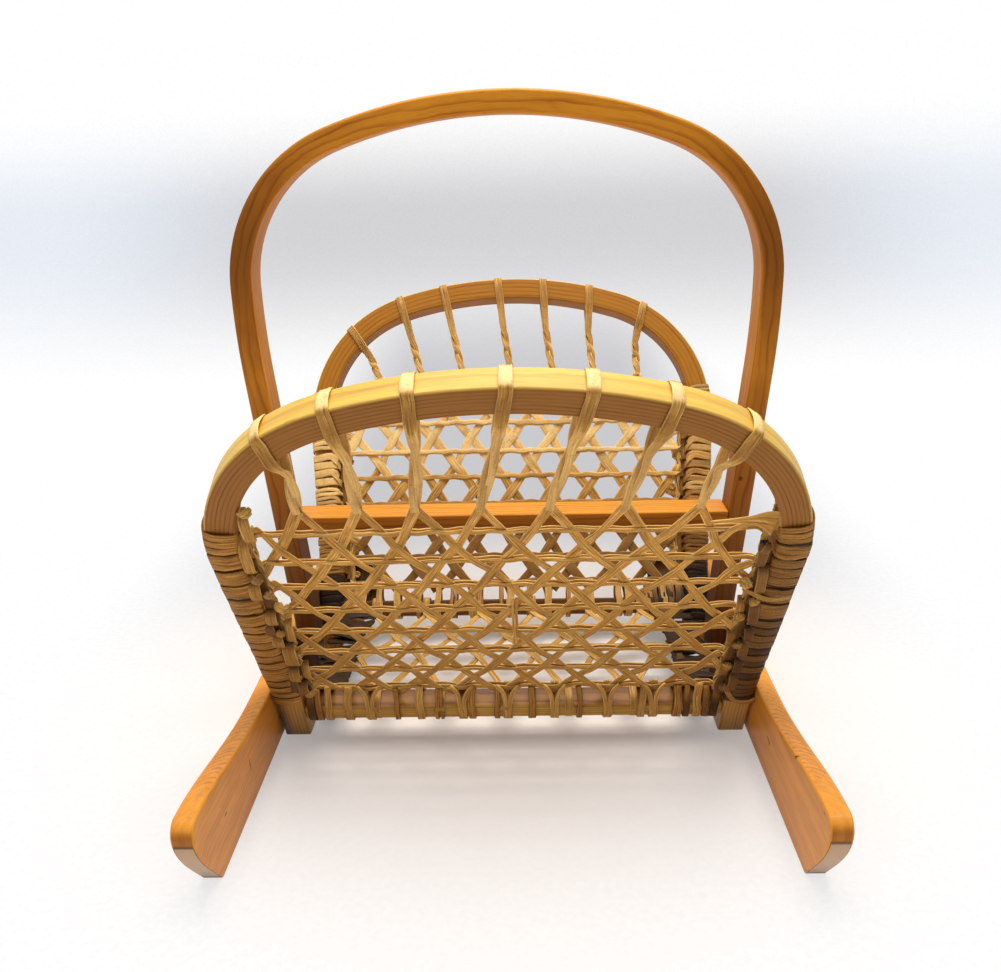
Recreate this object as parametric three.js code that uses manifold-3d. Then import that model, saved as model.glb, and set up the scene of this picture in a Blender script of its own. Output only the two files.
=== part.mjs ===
// A free-standing magazine rack built the way snowshoes are made: bent ash hoops laced with rawhide.
// Two boards on edge are the feet. A tall hoop between them is the handle, with a stretcher across it.
// Two lower hoops lean out in front and behind, each with a crossbar. Rawhide fills them and the bottom.
// Millimetres, +Z up, X across the rack, Y from front to back, origin on the floor under the middle.

import * as THREE from "three";
import { mergeVertices } from "three/addons/utils/BufferGeometryUtils.js";
import Module from "manifold-3d";

const wasm = await Module();
wasm.setup();

// Fits
const touch = 0.3; // gap left between two pieces that lie against each other
const overrun = 2; // how far a cut reaches past the face that it opens

// Feet: boards on edge with a low waist and rounded toes
const footGap = 296; // clear width between the two boards
const footThickness = 11.4;
const footLength = 472;
const footSoleLength = 407;
const footWaistHeight = 41;
const footWaistLength = 190;
const footToeHeight = 55;
const footToeRadius = 8;
const footNoseHeight = 46;
const footEase = 1.2;
const noseCurveShares = { lowRun: 0.36, lowRise: 0.3, highRise: 0.74 };
const toeCurveShares = { near: 0.3, far: 0.6 };

// Handle: one bent hoop that stands between the feet
const handleDepth = 25.4;
const handleThickness = 13.6;
const handleHeight = 387.5;
const handleFlare = 20.9; // how far the hoop bows out past its own feet
const handleCrownRadius = 300;
const handleCornerRadius = 98;
const handleSideRadius = 550;
const handleStraight = 9; // straight leg that shows above the foot before the flare
const handleEase = 2;

// Stretcher across the handle
const stretcherHeight = 12;
const stretcherTop = 128;
const stretcherEase = 1;

// Panels: two bent hoops that lean out from the middle
const panelLean = THREE.MathUtils.degToRad(27.1);
const panelFootSpacing = 135.6; // between the outer faces of both hoops on the floor
const panelThickness = 15.5; // square to the panel
const panelWidth = 16; // stock width in the panel's plane
const panelHeight = 283; // along the slope
const panelFlare = 9.1;
const panelFootClearance = 1.9; // air between a panel leg and the foot beside it
const panelCrownRadius = 281;
const panelCornerRadius = 99;
const panelSideRadius = 200;
const panelStraight = 48; // straight foot of each leg, along the slope
const panelEase = 1.2;

// Crossbars, tenoned into the panel legs
const crossbarBottom = 16.7; // up the slope from the floor
const crossbarWidth = 11.6; // in the panel's plane
const crossbarThickness = 14.3;
const crossbarEase = 1.5;
const tenonLength = 10;
const tenonWidth = 7;
const tenonThickness = 6;

// Rawhide strands of the nets
const strandWidth = 5;
const strandThickness = 1.4;
const strandLap = 0.2; // how far crossing strands press into each other
const netBottom = 42; // lowest and highest rail of a panel net, up the slope
const netTop = 181.5;
const netRows = 7;
const loopPitch = 34; // spacing of the strands along a rail, and of the loops that carry the net
const tabWidth = 4.6;
const tabCount = 7; // short straps from the lowest rail to the crossbar

// Bottom net between the crossbars, and the ties that carry it
const bottomRows = 2;
const bottomRowPitch = 30;
const bottomPitch = 38.5; // spacing of the ties and of the openings
const bottomShift = 9;
const bottomTies = 6;

// Loops over the arch that carry each net
const loopCount = 7;
const loopWidth = 6.6;
const loopTailWidth = 5;
const loopThickness = 1.3;
const archPitch = 39;
const gatherRise = 17; // above the net's top rail
const panelSides = [
  { name: "front", turn: 0, archShift: 1, gatherShift: -6 },
  { name: "back", turn: Math.PI, archShift: 11, gatherShift: 1 },
];

// Rawhide wound round the panel legs and the crossbars
const wrapThickness = 1.3;
const wrapWidth = 7.6;
const wrapPitch = 9.1;
const wrapTurns = 16.25;
const wrapBottom = 38;
const barWrapWidth = 5.6;
const barWrapPitch = 17.8;
const barWrapTurns = 14;

// Selvedge cords beside the panel legs
const selvedgeRadius = 3.2;
const selvedgeBottom = 35;
const selvedgeTop = 199;
const selvedgeSides = 6;
const selvedgeWaistShare = 0.74;

// Screws
const screwRadius = 2;
const screwHeadRadius = 4;
const screwHeadHeight = 2.4;
const screwSink = 0.6;
const screwSides = 8;
const footScrewLength = 22;
const stretcherScrewLength = 36;
const panelScrewHeight = 9;
const handleScrews = [
  { y: -5.5, z: 13 },
  { y: 5.5, z: 30 },
];

// Smoothness of the curves
const cornerSteps = 16;
const crownSteps = 8;
const sideSteps = 4;
const footSteps = 16;
const easeSteps = 2; // facets across an eased edge
const gapSamples = 6; // points on each side of a turn where the gap between turns is measured

// Sizes that follow from the ones above
const footInner = footGap / 2;
const footOuter = footInner + footThickness;
const netDepth = panelThickness / 2; // the nets lie in the middle of the panel's thickness
const strandStep = strandThickness - strandLap;
const rowPitch = (netTop - netBottom) / netRows;

const handle = {
  legHalfWidth: footInner - touch,
  legHeight: footWaistHeight + handleStraight,
  halfWidth: footInner - touch + handleFlare,
  height: handleHeight,
  crownRadius: handleCrownRadius,
  cornerRadius: handleCornerRadius,
  sideRadius: handleSideRadius,
};

const panel = {
  legHalfWidth: footInner - panelFootClearance,
  legHeight: panelStraight,
  halfWidth: footInner - panelFootClearance + panelFlare,
  height: panelHeight,
  crownRadius: panelCrownRadius,
  cornerRadius: panelCornerRadius,
  sideRadius: panelSideRadius,
};

// Materials
const colours = { ash: 0xc8873c, paleAsh: 0xb98a50, rawhide: 0xc9a25a, wrap: 0xa9824a, steel: 0x8f9296 };

function material(colour, roughness, metalness = 0) {
  return new THREE.MeshStandardMaterial({ color: colour, roughness, metalness });
}

function mesh(name, geometry, finish) {
  const made = new THREE.Mesh(geometry, finish);
  made.name = name;
  return made;
}

// Joining and cutting
function solidOf(geometry) {
  const bare = geometry.clone();
  bare.deleteAttribute("normal");
  bare.deleteAttribute("uv");
  const merged = mergeVertices(bare);
  return new wasm.Manifold(
    new wasm.Mesh({
      numProp: 3,
      vertProperties: merged.attributes.position.array,
      triVerts: new Uint32Array(merged.index.array),
    }),
  );
}

function geometryOf(solid) {
  const { vertProperties, triVerts } = solid.getMesh();
  const indexed = new THREE.BufferGeometry();
  indexed.setAttribute("position", new THREE.BufferAttribute(new Float32Array(vertProperties), 3));
  indexed.setIndex(new THREE.BufferAttribute(new Uint32Array(triVerts), 1));
  const flat = indexed.toNonIndexed();
  flat.computeVertexNormals();
  return flat;
}

function cut(geometry, tools) {
  return geometryOf(tools.reduce((body, tool) => body.subtract(solidOf(tool)), solidOf(geometry)));
}

// A closed shell from rings of points, each ring joined to the next and both ends capped.
function shellOf(rings) {
  const sides = rings[0].length;
  const corners = rings.flat();
  const faces = [];
  for (let ring = 0; ring + 1 < rings.length; ring += 1) {
    for (let side = 0; side < sides; side += 1) {
      const a = ring * sides + side;
      const b = ring * sides + ((side + 1) % sides);
      faces.push([a, b, b + sides], [a, b + sides, a + sides]);
    }
  }
  const last = (rings.length - 1) * sides;
  for (let side = 1; side + 1 < sides; side += 1) {
    faces.push([0, side + 1, side], [last, last + side, last + side + 1]);
  }
  const volume = faces.reduce((sum, [a, b, c]) => {
    return sum + corners[a].dot(corners[b].clone().cross(corners[c]));
  }, 0);
  const outward = volume > 0 ? faces : faces.map(([a, b, c]) => [a, c, b]);
  const indexed = new THREE.BufferGeometry().setFromPoints(corners);
  indexed.setIndex(outward.flat());
  const flat = indexed.toNonIndexed();
  flat.computeVertexNormals();
  return flat;
}

// A strap of rectangular section. Each station has the middle of its inner face and half its width.
function strapRings(stations) {
  return stations.map(({ inner, across, out }) => [
    inner.clone().sub(across),
    inner.clone().add(across),
    inner.clone().add(across).add(out),
    inner.clone().sub(across).add(out),
  ]);
}

// Bent hoops, made of arcs: a straight foot, a leaning leg, a side, a corner and the crown.
function hoopArcs(hoop) {
  const { halfWidth, height, crownRadius, cornerRadius, sideRadius, legHalfWidth, legHeight } = hoop;
  const cornerX = halfWidth - cornerRadius;
  const crownTurn = Math.asin(cornerX / (crownRadius - cornerRadius));
  const crownZ = height - crownRadius;
  const cornerZ = crownZ + (crownRadius - cornerRadius) * Math.cos(crownTurn);
  const sideX = halfWidth - sideRadius;
  const fromSide = new THREE.Vector2(legHalfWidth - sideX, legHeight - cornerZ);
  const lean = -fromSide.angle() + 2 * Math.PI - Math.acos(sideRadius / fromSide.length());
  return { ...hoop, cornerX, cornerZ, crownTurn, crownZ, sideX, lean };
}

function steps(from, to, count) {
  return Array.from({ length: count + 1 }, (_, i) => from + ((to - from) * i) / count);
}

function range(first, last) {
  return Array.from({ length: last - first + 1 }, (_, i) => first + i);
}

// The right half of a hoop's outline from its foot to the middle of the crown, inset from the outer face.
function hoopHalf(hoop, inset, bottom) {
  const arcs = hoopArcs(hoop);
  const points = [
    new THREE.Vector2(arcs.legHalfWidth - inset, bottom),
    new THREE.Vector2(arcs.legHalfWidth - inset, arcs.legHeight + inset * Math.tan(arcs.lean / 2)),
  ];
  for (const turn of steps(arcs.lean, 0, sideSteps)) {
    const radius = arcs.sideRadius - inset;
    const x = arcs.sideX + radius * Math.cos(turn);
    points.push(new THREE.Vector2(x, arcs.cornerZ - radius * Math.sin(turn)));
  }
  for (const turn of steps(Math.PI / 2, arcs.crownTurn, cornerSteps).slice(1)) {
    const radius = arcs.cornerRadius - inset;
    const x = arcs.cornerX + radius * Math.sin(turn);
    points.push(new THREE.Vector2(x, arcs.cornerZ + radius * Math.cos(turn)));
  }
  for (const turn of steps(arcs.crownTurn, 0, crownSteps).slice(1)) {
    const radius = arcs.crownRadius - inset;
    points.push(new THREE.Vector2(radius * Math.sin(turn), arcs.crownZ + radius * Math.cos(turn)));
  }
  return points;
}

// The half width of a hoop's leg at a height, inset from its outer face.
function legX(arcs, inset, height) {
  if (height > arcs.cornerZ) {
    const radius = arcs.cornerRadius - inset;
    return arcs.cornerX + Math.sqrt(radius ** 2 - (height - arcs.cornerZ) ** 2);
  }
  const radius = arcs.sideRadius - inset;
  if (height > arcs.cornerZ - radius * Math.sin(arcs.lean)) {
    return arcs.sideX + Math.sqrt(radius ** 2 - (arcs.cornerZ - height) ** 2);
  }
  const bend = arcs.legHeight + inset * Math.tan(arcs.lean / 2);
  return arcs.legHalfWidth - inset + Math.max(0, height - bend) * Math.tan(arcs.lean);
}

// The turn of the arch, from straight up, at a distance from the middle, and a point on it.
function archTurn(arcs, x) {
  const onCrown = Math.asin(Math.abs(x) / arcs.crownRadius);
  const onCorner = Math.asin(Math.max(0, Math.abs(x) - arcs.cornerX) / arcs.cornerRadius);
  return Math.sign(x) * (onCrown < arcs.crownTurn ? onCrown : onCorner);
}

function archPoint(arcs, turn, inset) {
  const onCrown = Math.abs(turn) < arcs.crownTurn;
  const radius = (onCrown ? arcs.crownRadius : arcs.cornerRadius) - inset;
  const x = onCrown ? 0 : Math.sign(turn) * arcs.cornerX;
  const z = onCrown ? arcs.crownZ : arcs.cornerZ;
  return new THREE.Vector2(x + radius * Math.sin(turn), z + radius * Math.cos(turn));
}

// A whole hoop, extruded from its outline with eased edges. It lies in XY and reaches back along -Z.
function hoopSolid(hoop, stock, depth, ease, bottom) {
  const outer = hoopHalf(hoop, 0, bottom);
  const inner = hoopHalf(hoop, stock, bottom);
  const mirror = (point) => new THREE.Vector2(-point.x, point.y);
  const outline = [
    ...outer,
    ...outer.slice(0, -1).reverse().map(mirror),
    ...inner.slice(0, -1).map(mirror),
    ...inner.slice().reverse(),
  ];
  const made = new THREE.ExtrudeGeometry(new THREE.Shape(outline), {
    depth: depth - 2 * ease,
    bevelEnabled: true,
    bevelSegments: easeSteps,
    bevelSize: ease,
    bevelOffset: -ease,
    bevelThickness: ease,
  });
  return made.translate(0, 0, ease - depth);
}

// A bar along X with eased edges.
function barSolid(length, width, thickness, ease) {
  const w = width / 2;
  const t = thickness / 2;
  const section = new THREE.Shape([
    new THREE.Vector2(-t + ease, -w),
    new THREE.Vector2(t - ease, -w),
    new THREE.Vector2(t, -w + ease),
    new THREE.Vector2(t, w - ease),
    new THREE.Vector2(t - ease, w),
    new THREE.Vector2(-t + ease, w),
    new THREE.Vector2(-t, w - ease),
    new THREE.Vector2(-t, -w + ease),
  ]);
  const made = new THREE.ExtrudeGeometry(section, { depth: length, bevelEnabled: false });
  return made.translate(0, 0, -length / 2).rotateY(Math.PI / 2);
}

// Screws run along X. Their heads lie at the outer end, and the tool for the hole has the same form.
function screwProfile(length, gap) {
  const head = screwHeadRadius + gap;
  const shank = screwRadius + gap;
  const mouth = gap > 0 ? screwSink + overrun : 0;
  return [
    new THREE.Vector2(0, -mouth),
    new THREE.Vector2(head, -mouth),
    new THREE.Vector2(head, gap),
    new THREE.Vector2(shank, screwHeadHeight + gap),
    new THREE.Vector2(shank, length + gap),
    new THREE.Vector2(0, length + gap),
  ];
}

function screwSolid(side, x, y, z, length, gap = 0) {
  const made = new THREE.LatheGeometry(screwProfile(length, gap), screwSides);
  return made.rotateZ(side * (Math.PI / 2)).translate(side * (x - screwSink), y, z);
}

// Feet
function footOutline() {
  const toe = footLength / 2;
  const sole = footSoleLength / 2;
  const waist = footWaistLength / 2;
  const noseRun = toe - sole;
  const topRun = toe - footToeRadius - waist;
  const { lowRun, lowRise, highRise } = noseCurveShares;
  const half = new THREE.Path();
  half.moveTo(sole, 0);
  half.bezierCurveTo(
    sole + lowRun * noseRun,
    lowRise * footNoseHeight,
    toe,
    highRise * footNoseHeight,
    toe,
    footToeHeight - footToeRadius,
  );
  half.absarc(toe - footToeRadius, footToeHeight - footToeRadius, footToeRadius, 0, Math.PI / 2);
  half.bezierCurveTo(
    toe - footToeRadius - toeCurveShares.near * topRun,
    footToeHeight,
    toe - footToeRadius - toeCurveShares.far * topRun,
    footWaistHeight,
    waist,
    footWaistHeight,
  );
  const points = half.getPoints(footSteps / 2);
  return [...points, ...points.slice().reverse().map((point) => new THREE.Vector2(-point.x, point.y))];
}

function footSolid() {
  const made = new THREE.ExtrudeGeometry(new THREE.Shape(footOutline()), {
    depth: footThickness - 2 * footEase,
    bevelEnabled: true,
    bevelSegments: easeSteps,
    bevelSize: footEase,
    bevelOffset: -footEase,
    bevelThickness: footEase,
  });
  return made.translate(0, 0, footEase - footThickness / 2);
}

// Where the screws go. Panel screws sit on the middle of the leaning leg.
const panelScrewY = panelFootSpacing / 2 + panelScrewHeight * Math.tan(panelLean)
  - panelThickness / 2 / Math.cos(panelLean);
const footScrews = [
  { name: "front_panel_screw", y: -panelScrewY, z: panelScrewHeight },
  { name: "back_panel_screw", y: panelScrewY, z: panelScrewHeight },
  ...handleScrews.map((place, i) => ({ name: "handle_screw_" + (i + 1), ...place })),
];
const stretcherMiddle = stretcherTop - stretcherHeight / 2;
const handleArcs = hoopArcs(handle);
const panelArcs = hoopArcs(panel);

function screwHoles(places) {
  return [-1, 1].flatMap((side) =>
    places.map(({ y, z }) => screwSolid(side, footOuter, y, z, footScrewLength, touch)),
  );
}

function stretcherScrewAt(side, gap) {
  const x = legX(handleArcs, 0, stretcherMiddle);
  return screwSolid(side, x, 0, stretcherMiddle, stretcherScrewLength, gap);
}

function addFeet(group, finish, steel) {
  for (const [name, side] of [["left", -1], ["right", 1]]) {
    const board = footSolid().rotateX(Math.PI / 2).rotateZ(Math.PI / 2);
    board.translate(side * (footInner + footThickness / 2), 0, 0);
    group.add(mesh(name + "_foot", cut(board, screwHoles(footScrews)), finish));
    for (const { name: place, y, z } of footScrews) {
      group.add(mesh(name + "_" + place, screwSolid(side, footOuter, y, z, footScrewLength), steel));
    }
    group.add(mesh(name + "_stretcher_screw", stretcherScrewAt(side, 0), steel));
  }
}

function addHandle(group, finish) {
  const hoop = hoopSolid(handle, handleThickness, handleDepth, handleEase, 0);
  hoop.rotateX(Math.PI / 2).translate(0, -handleDepth / 2, 0);
  const ends = [stretcherScrewAt(-1, touch), stretcherScrewAt(1, touch)];
  group.add(mesh("handle_hoop", cut(hoop, [...screwHoles(footScrews.slice(2)), ...ends]), finish));

  const low = legX(handleArcs, handleThickness, stretcherTop - stretcherHeight) - touch;
  const high = legX(handleArcs, handleThickness, stretcherTop) - touch;
  const outline = new THREE.Shape([
    new THREE.Vector2(-low, stretcherTop - stretcherHeight),
    new THREE.Vector2(low, stretcherTop - stretcherHeight),
    new THREE.Vector2(high, stretcherTop),
    new THREE.Vector2(-high, stretcherTop),
  ]);
  const bar = new THREE.ExtrudeGeometry(outline, {
    depth: handleDepth - 2 * stretcherEase,
    bevelEnabled: true,
    bevelSegments: easeSteps,
    bevelSize: stretcherEase,
    bevelOffset: -stretcherEase,
    bevelThickness: stretcherEase,
  });
  bar.rotateX(Math.PI / 2).translate(0, handleDepth / 2 - stretcherEase, 0);
  group.add(mesh("handle_stretcher", cut(bar, ends), finish));
}

// Windings. The strap goes round four corners of a bar while it moves along it.
const windingCorners = [[1, 1], [1, -1], [-1, -1], [-1, 1]];

function windingStations(frameAt, halfWidth, halfDepth, start, turns, pitch, width) {
  const perTurn = windingCorners.length;
  return range(0, Math.round(turns * perTurn)).map((i) => {
    const [right, front] = windingCorners[i % perTurn];
    const { middle, along, outward, forward } = frameAt(start + (i / perTurn) * pitch);
    const inner = middle.clone()
      .addScaledVector(outward, right * (halfWidth + touch))
      .addScaledVector(forward, front * (halfDepth + touch));
    const out = outward.clone().multiplyScalar(right).addScaledVector(forward, front);
    out.multiplyScalar(wrapThickness);
    return { inner, across: along.clone().multiplyScalar(width / 2), out };
  });
}

// The least gap between neighbouring turns, measured on points along the strap's two edges.
function leastGap(rings) {
  const edges = [[0, 3], [1, 2]].map((corners) =>
    rings.slice(0, -1).flatMap((ring, i) =>
      steps(0, 1, gapSamples).slice(0, -1).flatMap((share) =>
        corners.map((corner) => ({
          turn: (i + share) / windingCorners.length,
          point: ring[corner].clone().lerp(rings[i + 1][corner], share),
        })),
      ),
    ),
  );
  let least = Infinity;
  for (const a of edges[0]) {
    for (const b of edges[1]) {
      const apart = 2 * Math.abs(a.turn - b.turn) > 1;
      if (apart) least = Math.min(least, a.point.distanceTo(b.point));
    }
  }
  return least;
}

function winding(name, stations, finish) {
  const rings = strapRings(stations);
  console.log(name + ": least gap between turns " + leastGap(rings).toFixed(2) + " mm");
  return mesh(name, shellOf(rings), finish);
}

// Leg of a panel at a height up the slope: its middle, its direction and the two directions square to it.
function legFrame(side, height) {
  const inset = panelWidth / 2;
  const x = legX(panelArcs, inset, height);
  const ahead = legX(panelArcs, inset, height + touch) - x;
  const along = new THREE.Vector3(side * ahead, touch, 0).normalize();
  return {
    middle: new THREE.Vector3(side * x, height, -panelThickness / 2),
    along,
    outward: new THREE.Vector3(side * along.y, -side * along.x, 0),
    forward: new THREE.Vector3(0, 0, 1),
  };
}

function barFrame(x) {
  return {
    middle: new THREE.Vector3(x, crossbarBottom + crossbarWidth / 2, -panelThickness / 2),
    along: new THREE.Vector3(1, 0, 0),
    outward: new THREE.Vector3(0, 1, 0),
    forward: new THREE.Vector3(0, 0, 1),
  };
}

// Nets: rails across, and two families of slanting strands in front of them and behind them.
function strandSolid(length, width, x, y, turn, layer) {
  const strand = new THREE.BoxGeometry(length, width, strandThickness);
  strand.rotateZ(turn).translate(x, y, layer * strandStep - netDepth);
  return solidOf(strand);
}

function netSolid(shift, region, tabs) {
  const height = netTop - netBottom;
  const slope = Math.atan2(rowPitch, loopPitch / 2);
  const strandLength = 2 * height / Math.sin(slope) + panel.halfWidth;
  const rails = range(0, netRows).map((row) =>
    strandSolid(2 * panel.halfWidth + overrun, strandWidth, 0, netBottom + row * rowPitch, 0, 0),
  );
  const reach = Math.ceil((panel.halfWidth + height) / loopPitch);
  const slants = range(-reach, reach).flatMap((i) =>
    [-1, 1].map((way) => {
      const x = i * loopPitch + shift + way * (loopPitch / 4);
      return strandSolid(strandLength, strandWidth, x, netTop, -way * slope, way);
    }),
  );
  const woven = wasm.Manifold.union([...rails, ...slants]).intersect(region);
  return wasm.Manifold.union([woven, ...tabs]);
}

function prism(points) {
  const depth = 2 * panelThickness;
  const made = new THREE.ExtrudeGeometry(new THREE.Shape(points), { depth, bevelEnabled: false });
  return solidOf(made.translate(0, 0, -depth / 2 - netDepth));
}

const wrapInset = panelWidth + touch + wrapThickness;

function selvedgeX(height) {
  return legX(panelArcs, wrapInset + touch + selvedgeRadius, height);
}

function panelNet(gatherShift) {
  const edge = steps(netBottom - strandWidth / 2, netTop + strandWidth / 2, netRows);
  const right = edge.map((height) => new THREE.Vector2(selvedgeX(height) - selvedgeRadius - touch, height));
  const left = right.slice().reverse().map((point) => new THREE.Vector2(-point.x, point.y));
  const barTop = crossbarBottom + crossbarWidth + (panelThickness - crossbarThickness) / 2;
  const tabBottom = barTop + 2 * touch + wrapThickness;
  const tabHeight = netBottom - tabBottom;
  const tabs = range(0, tabCount - 1).map((i) => {
    const x = (i - (tabCount - 1) / 2) * loopPitch;
    return strandSolid(tabHeight, tabWidth, x, tabBottom + tabHeight / 2, Math.PI / 2, 0);
  });
  return netSolid(gatherShift, prism([...right, ...left]), tabs);
}

function selvedge(side) {
  const heights = steps(selvedgeBottom, selvedgeTop, 2 * netRows);
  return heights.map((height, i) => {
    const radius = selvedgeRadius * (i % 2 ? 1 : selvedgeWaistShare);
    const middle = new THREE.Vector3(side * selvedgeX(height), height, -netDepth);
    return steps(0, 2 * Math.PI, selvedgeSides).slice(0, -1).map((turn) =>
      middle.clone().add(new THREE.Vector3(radius * Math.cos(turn), 0, radius * Math.sin(turn))),
    );
  });
}

// A loop of strap that hangs from the arch: up the front, over, down the back, and both tails to the net.
function archLoop(archX, gatherX) {
  const turn = archTurn(panelArcs, archX);
  const low = archPoint(panelArcs, turn, panelWidth + touch);
  const high = archPoint(panelArcs, turn, -touch);
  const radial = new THREE.Vector3(Math.sin(turn), Math.cos(turn), 0);
  const along = new THREE.Vector3(Math.cos(turn), -Math.sin(turn), 0).multiplyScalar(loopWidth / 2);
  const level = new THREE.Vector3(loopTailWidth / 2, 0, 0);
  const forward = new THREE.Vector3(0, 0, loopThickness);
  const back = forward.clone().negate();
  const front = touch;
  const rear = -panelThickness - touch;
  const railTop = netTop + strandWidth / 2 + touch;
  const spread = loopPitch / 4 * (1 + strandWidth / loopPitch);
  const at = (x, y, z) => new THREE.Vector3(x, y, z);
  const over = radial.clone().multiplyScalar(loopThickness);
  return [
    { inner: at(gatherX - spread, railTop, touch - netDepth), across: level, out: forward },
    { inner: at(gatherX, netTop + gatherRise, touch - netDepth), across: level, out: forward },
    { inner: at(low.x, low.y, front), across: along, out: forward },
    { inner: at(high.x, high.y, front), across: along, out: forward.clone().add(over) },
    { inner: at(high.x, high.y, rear), across: along, out: back.clone().add(over) },
    { inner: at(low.x, low.y, rear), across: along, out: back },
    { inner: at(gatherX, netTop + gatherRise, -touch - netDepth), across: level, out: back },
    { inner: at(gatherX + spread, railTop, -touch - netDepth), across: level, out: back },
  ];
}

// Both panels are one design. The back one is the front one turned round the upright axis.
function addPanel(group, side, finishes) {
  const leaning = new THREE.Group();
  leaning.position.set(0, -panelFootSpacing / 2, 0);
  leaning.rotation.x = Math.PI / 2 + panelLean;
  const turned = new THREE.Group();
  turned.rotation.z = side.turn;
  turned.add(leaning);
  group.add(turned);
  turned.updateMatrixWorld(true);
  const toPanel = leaning.matrixWorld.clone().invert();

  const footReach = panelThickness * Math.tan(panelLean) + overrun;
  const hoop = hoopSolid(panel, panelWidth, panelThickness, panelEase, -footReach);
  const block = 2 * panel.halfWidth + overrun;
  const floor = new THREE.BoxGeometry(block, block, block).translate(0, 0, -block / 2);
  const inset = (panelThickness - crossbarThickness) / 2;
  const barHeight = crossbarBottom + crossbarWidth / 2;
  const legInner = panel.legHalfWidth - panelWidth;
  const mortise = new THREE.BoxGeometry(
    2 * (legInner + tenonLength + touch),
    tenonWidth + 2 * touch,
    tenonThickness + 2 * touch,
  ).translate(0, barHeight, -panelThickness / 2);
  const cuts = [
    floor.applyMatrix4(toPanel),
    mortise,
    ...screwHoles(footScrews.slice(0, 2)).map((hole) => hole.applyMatrix4(toPanel)),
  ];
  leaning.add(mesh(side.name + "_panel_frame", cut(hoop, cuts), finishes.paleAsh));

  const bar = solidOf(barSolid(2 * (legInner - touch), crossbarWidth, crossbarThickness, crossbarEase));
  const tenon = solidOf(new THREE.BoxGeometry(2 * (legInner + tenonLength), tenonWidth, tenonThickness));
  const barGeometry = geometryOf(bar.add(tenon)).translate(0, barHeight, -panelThickness / 2);
  leaning.add(mesh(side.name + "_crossbar", barGeometry, finishes.paleAsh));

  leaning.add(mesh(side.name + "_lacing", geometryOf(panelNet(side.gatherShift)), finishes.rawhide));

  for (let i = 0; i < loopCount; i += 1) {
    const place = i - (loopCount - 1) / 2;
    const stations = archLoop(place * archPitch + side.archShift, place * loopPitch + side.gatherShift);
    leaning.add(mesh(side.name + "_arch_loop_" + (i + 1), shellOf(strapRings(stations)), finishes.rawhide));
  }

  for (const [hand, way] of [["left", -1], ["right", 1]]) {
    const legWrap = windingStations(
      (height) => legFrame(way, height),
      panelWidth / 2,
      panelThickness / 2,
      wrapBottom,
      wrapTurns,
      wrapPitch,
      wrapWidth,
    );
    leaning.add(winding(side.name + "_" + hand + "_leg_wrap", legWrap, finishes.wrap));
    leaning.add(mesh(side.name + "_" + hand + "_selvedge", shellOf(selvedge(way)), finishes.rawhide));
  }

  const barWrap = windingStations(
    barFrame,
    crossbarWidth / 2,
    crossbarThickness / 2,
    (-barWrapTurns * barWrapPitch) / 2,
    barWrapTurns,
    barWrapPitch,
    barWrapWidth,
  );
  leaning.add(winding(side.name + "_crossbar_wrap", barWrap, finishes.wrap));
}

// One six-sided opening of the bottom net, between two rails and four slanting strands.
function hexOpening(x, y) {
  const high = (bottomRowPitch - strandWidth) / 2;
  const slope = Math.atan2(bottomRowPitch, bottomPitch / 2);
  const point = bottomPitch / 2 - strandWidth / 2 / Math.sin(slope);
  const shoulder = point - high / Math.tan(slope);
  const upper = [[point, 0], [shoulder, high], [-shoulder, high]];
  const corners = [...upper, ...upper.map(([dx, dy]) => [-dx, -dy])];
  return new THREE.Path(corners.map(([dx, dy]) => new THREE.Vector2(x + dx, y + dy)));
}

// A row of openings, as many as fit between the ends of the net.
function rowOpenings(y, shift, halfLength) {
  const room = halfLength - strandWidth - bottomPitch / 2;
  const first = Math.ceil((-room - shift) / bottomPitch);
  const last = Math.floor((room - shift) / bottomPitch);
  return range(first, last).map((i) => hexOpening(shift + i * bottomPitch, y));
}

// The bottom net lies level between the crossbars, on ties that reach them.
function addBottomNet(group, finish) {
  const barY = panelFootSpacing / 2 + (crossbarBottom + crossbarWidth / 2) * Math.sin(panelLean)
    - (panelThickness / 2) * Math.cos(panelLean);
  const barZ = (crossbarBottom + crossbarWidth / 2) * Math.cos(panelLean)
    + (panelThickness / 2) * Math.sin(panelLean);
  const halfLength = panel.legHalfWidth - panelWidth - wrapThickness - 2 * selvedgeRadius;
  const edge = (bottomRows * bottomRowPitch + strandWidth) / 2;
  const plate = new THREE.Shape([
    new THREE.Vector2(-halfLength, -edge),
    new THREE.Vector2(halfLength, -edge),
    new THREE.Vector2(halfLength, edge),
    new THREE.Vector2(-halfLength, edge),
  ]);
  for (const row of range(0, bottomRows - 1)) {
    const y = (row - (bottomRows - 1) / 2) * bottomRowPitch;
    const shift = bottomShift + (row % 2 ? bottomPitch : bottomPitch / 2);
    plate.holes.push(...rowOpenings(y, shift, halfLength));
  }
  const sheet = new THREE.ExtrudeGeometry(plate, { depth: strandThickness, bevelEnabled: false });
  const net = solidOf(sheet.translate(0, 0, -strandThickness / 2 - netDepth));
  const wrapFace = (crossbarThickness / 2 + wrapThickness + 2 * touch) / Math.cos(panelLean);
  const tieEnd = barY - wrapFace - (strandThickness / 2) * Math.tan(panelLean);
  const tieLength = tieEnd - edge + strandLap;
  const ties = range(0, bottomTies - 1).flatMap((i) =>
    [-1, 1].map((way) => {
      const x = bottomShift + (i - bottomTies / 2) * bottomPitch;
      return strandSolid(tieLength, tabWidth, x, way * (edge - strandLap + tieLength / 2), Math.PI / 2, 0);
    }),
  );
  const whole = geometryOf(wasm.Manifold.union([net, ...ties]));
  group.add(mesh("bottom_lacing", whole.translate(0, 0, barZ + netDepth), finish));
}

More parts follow.
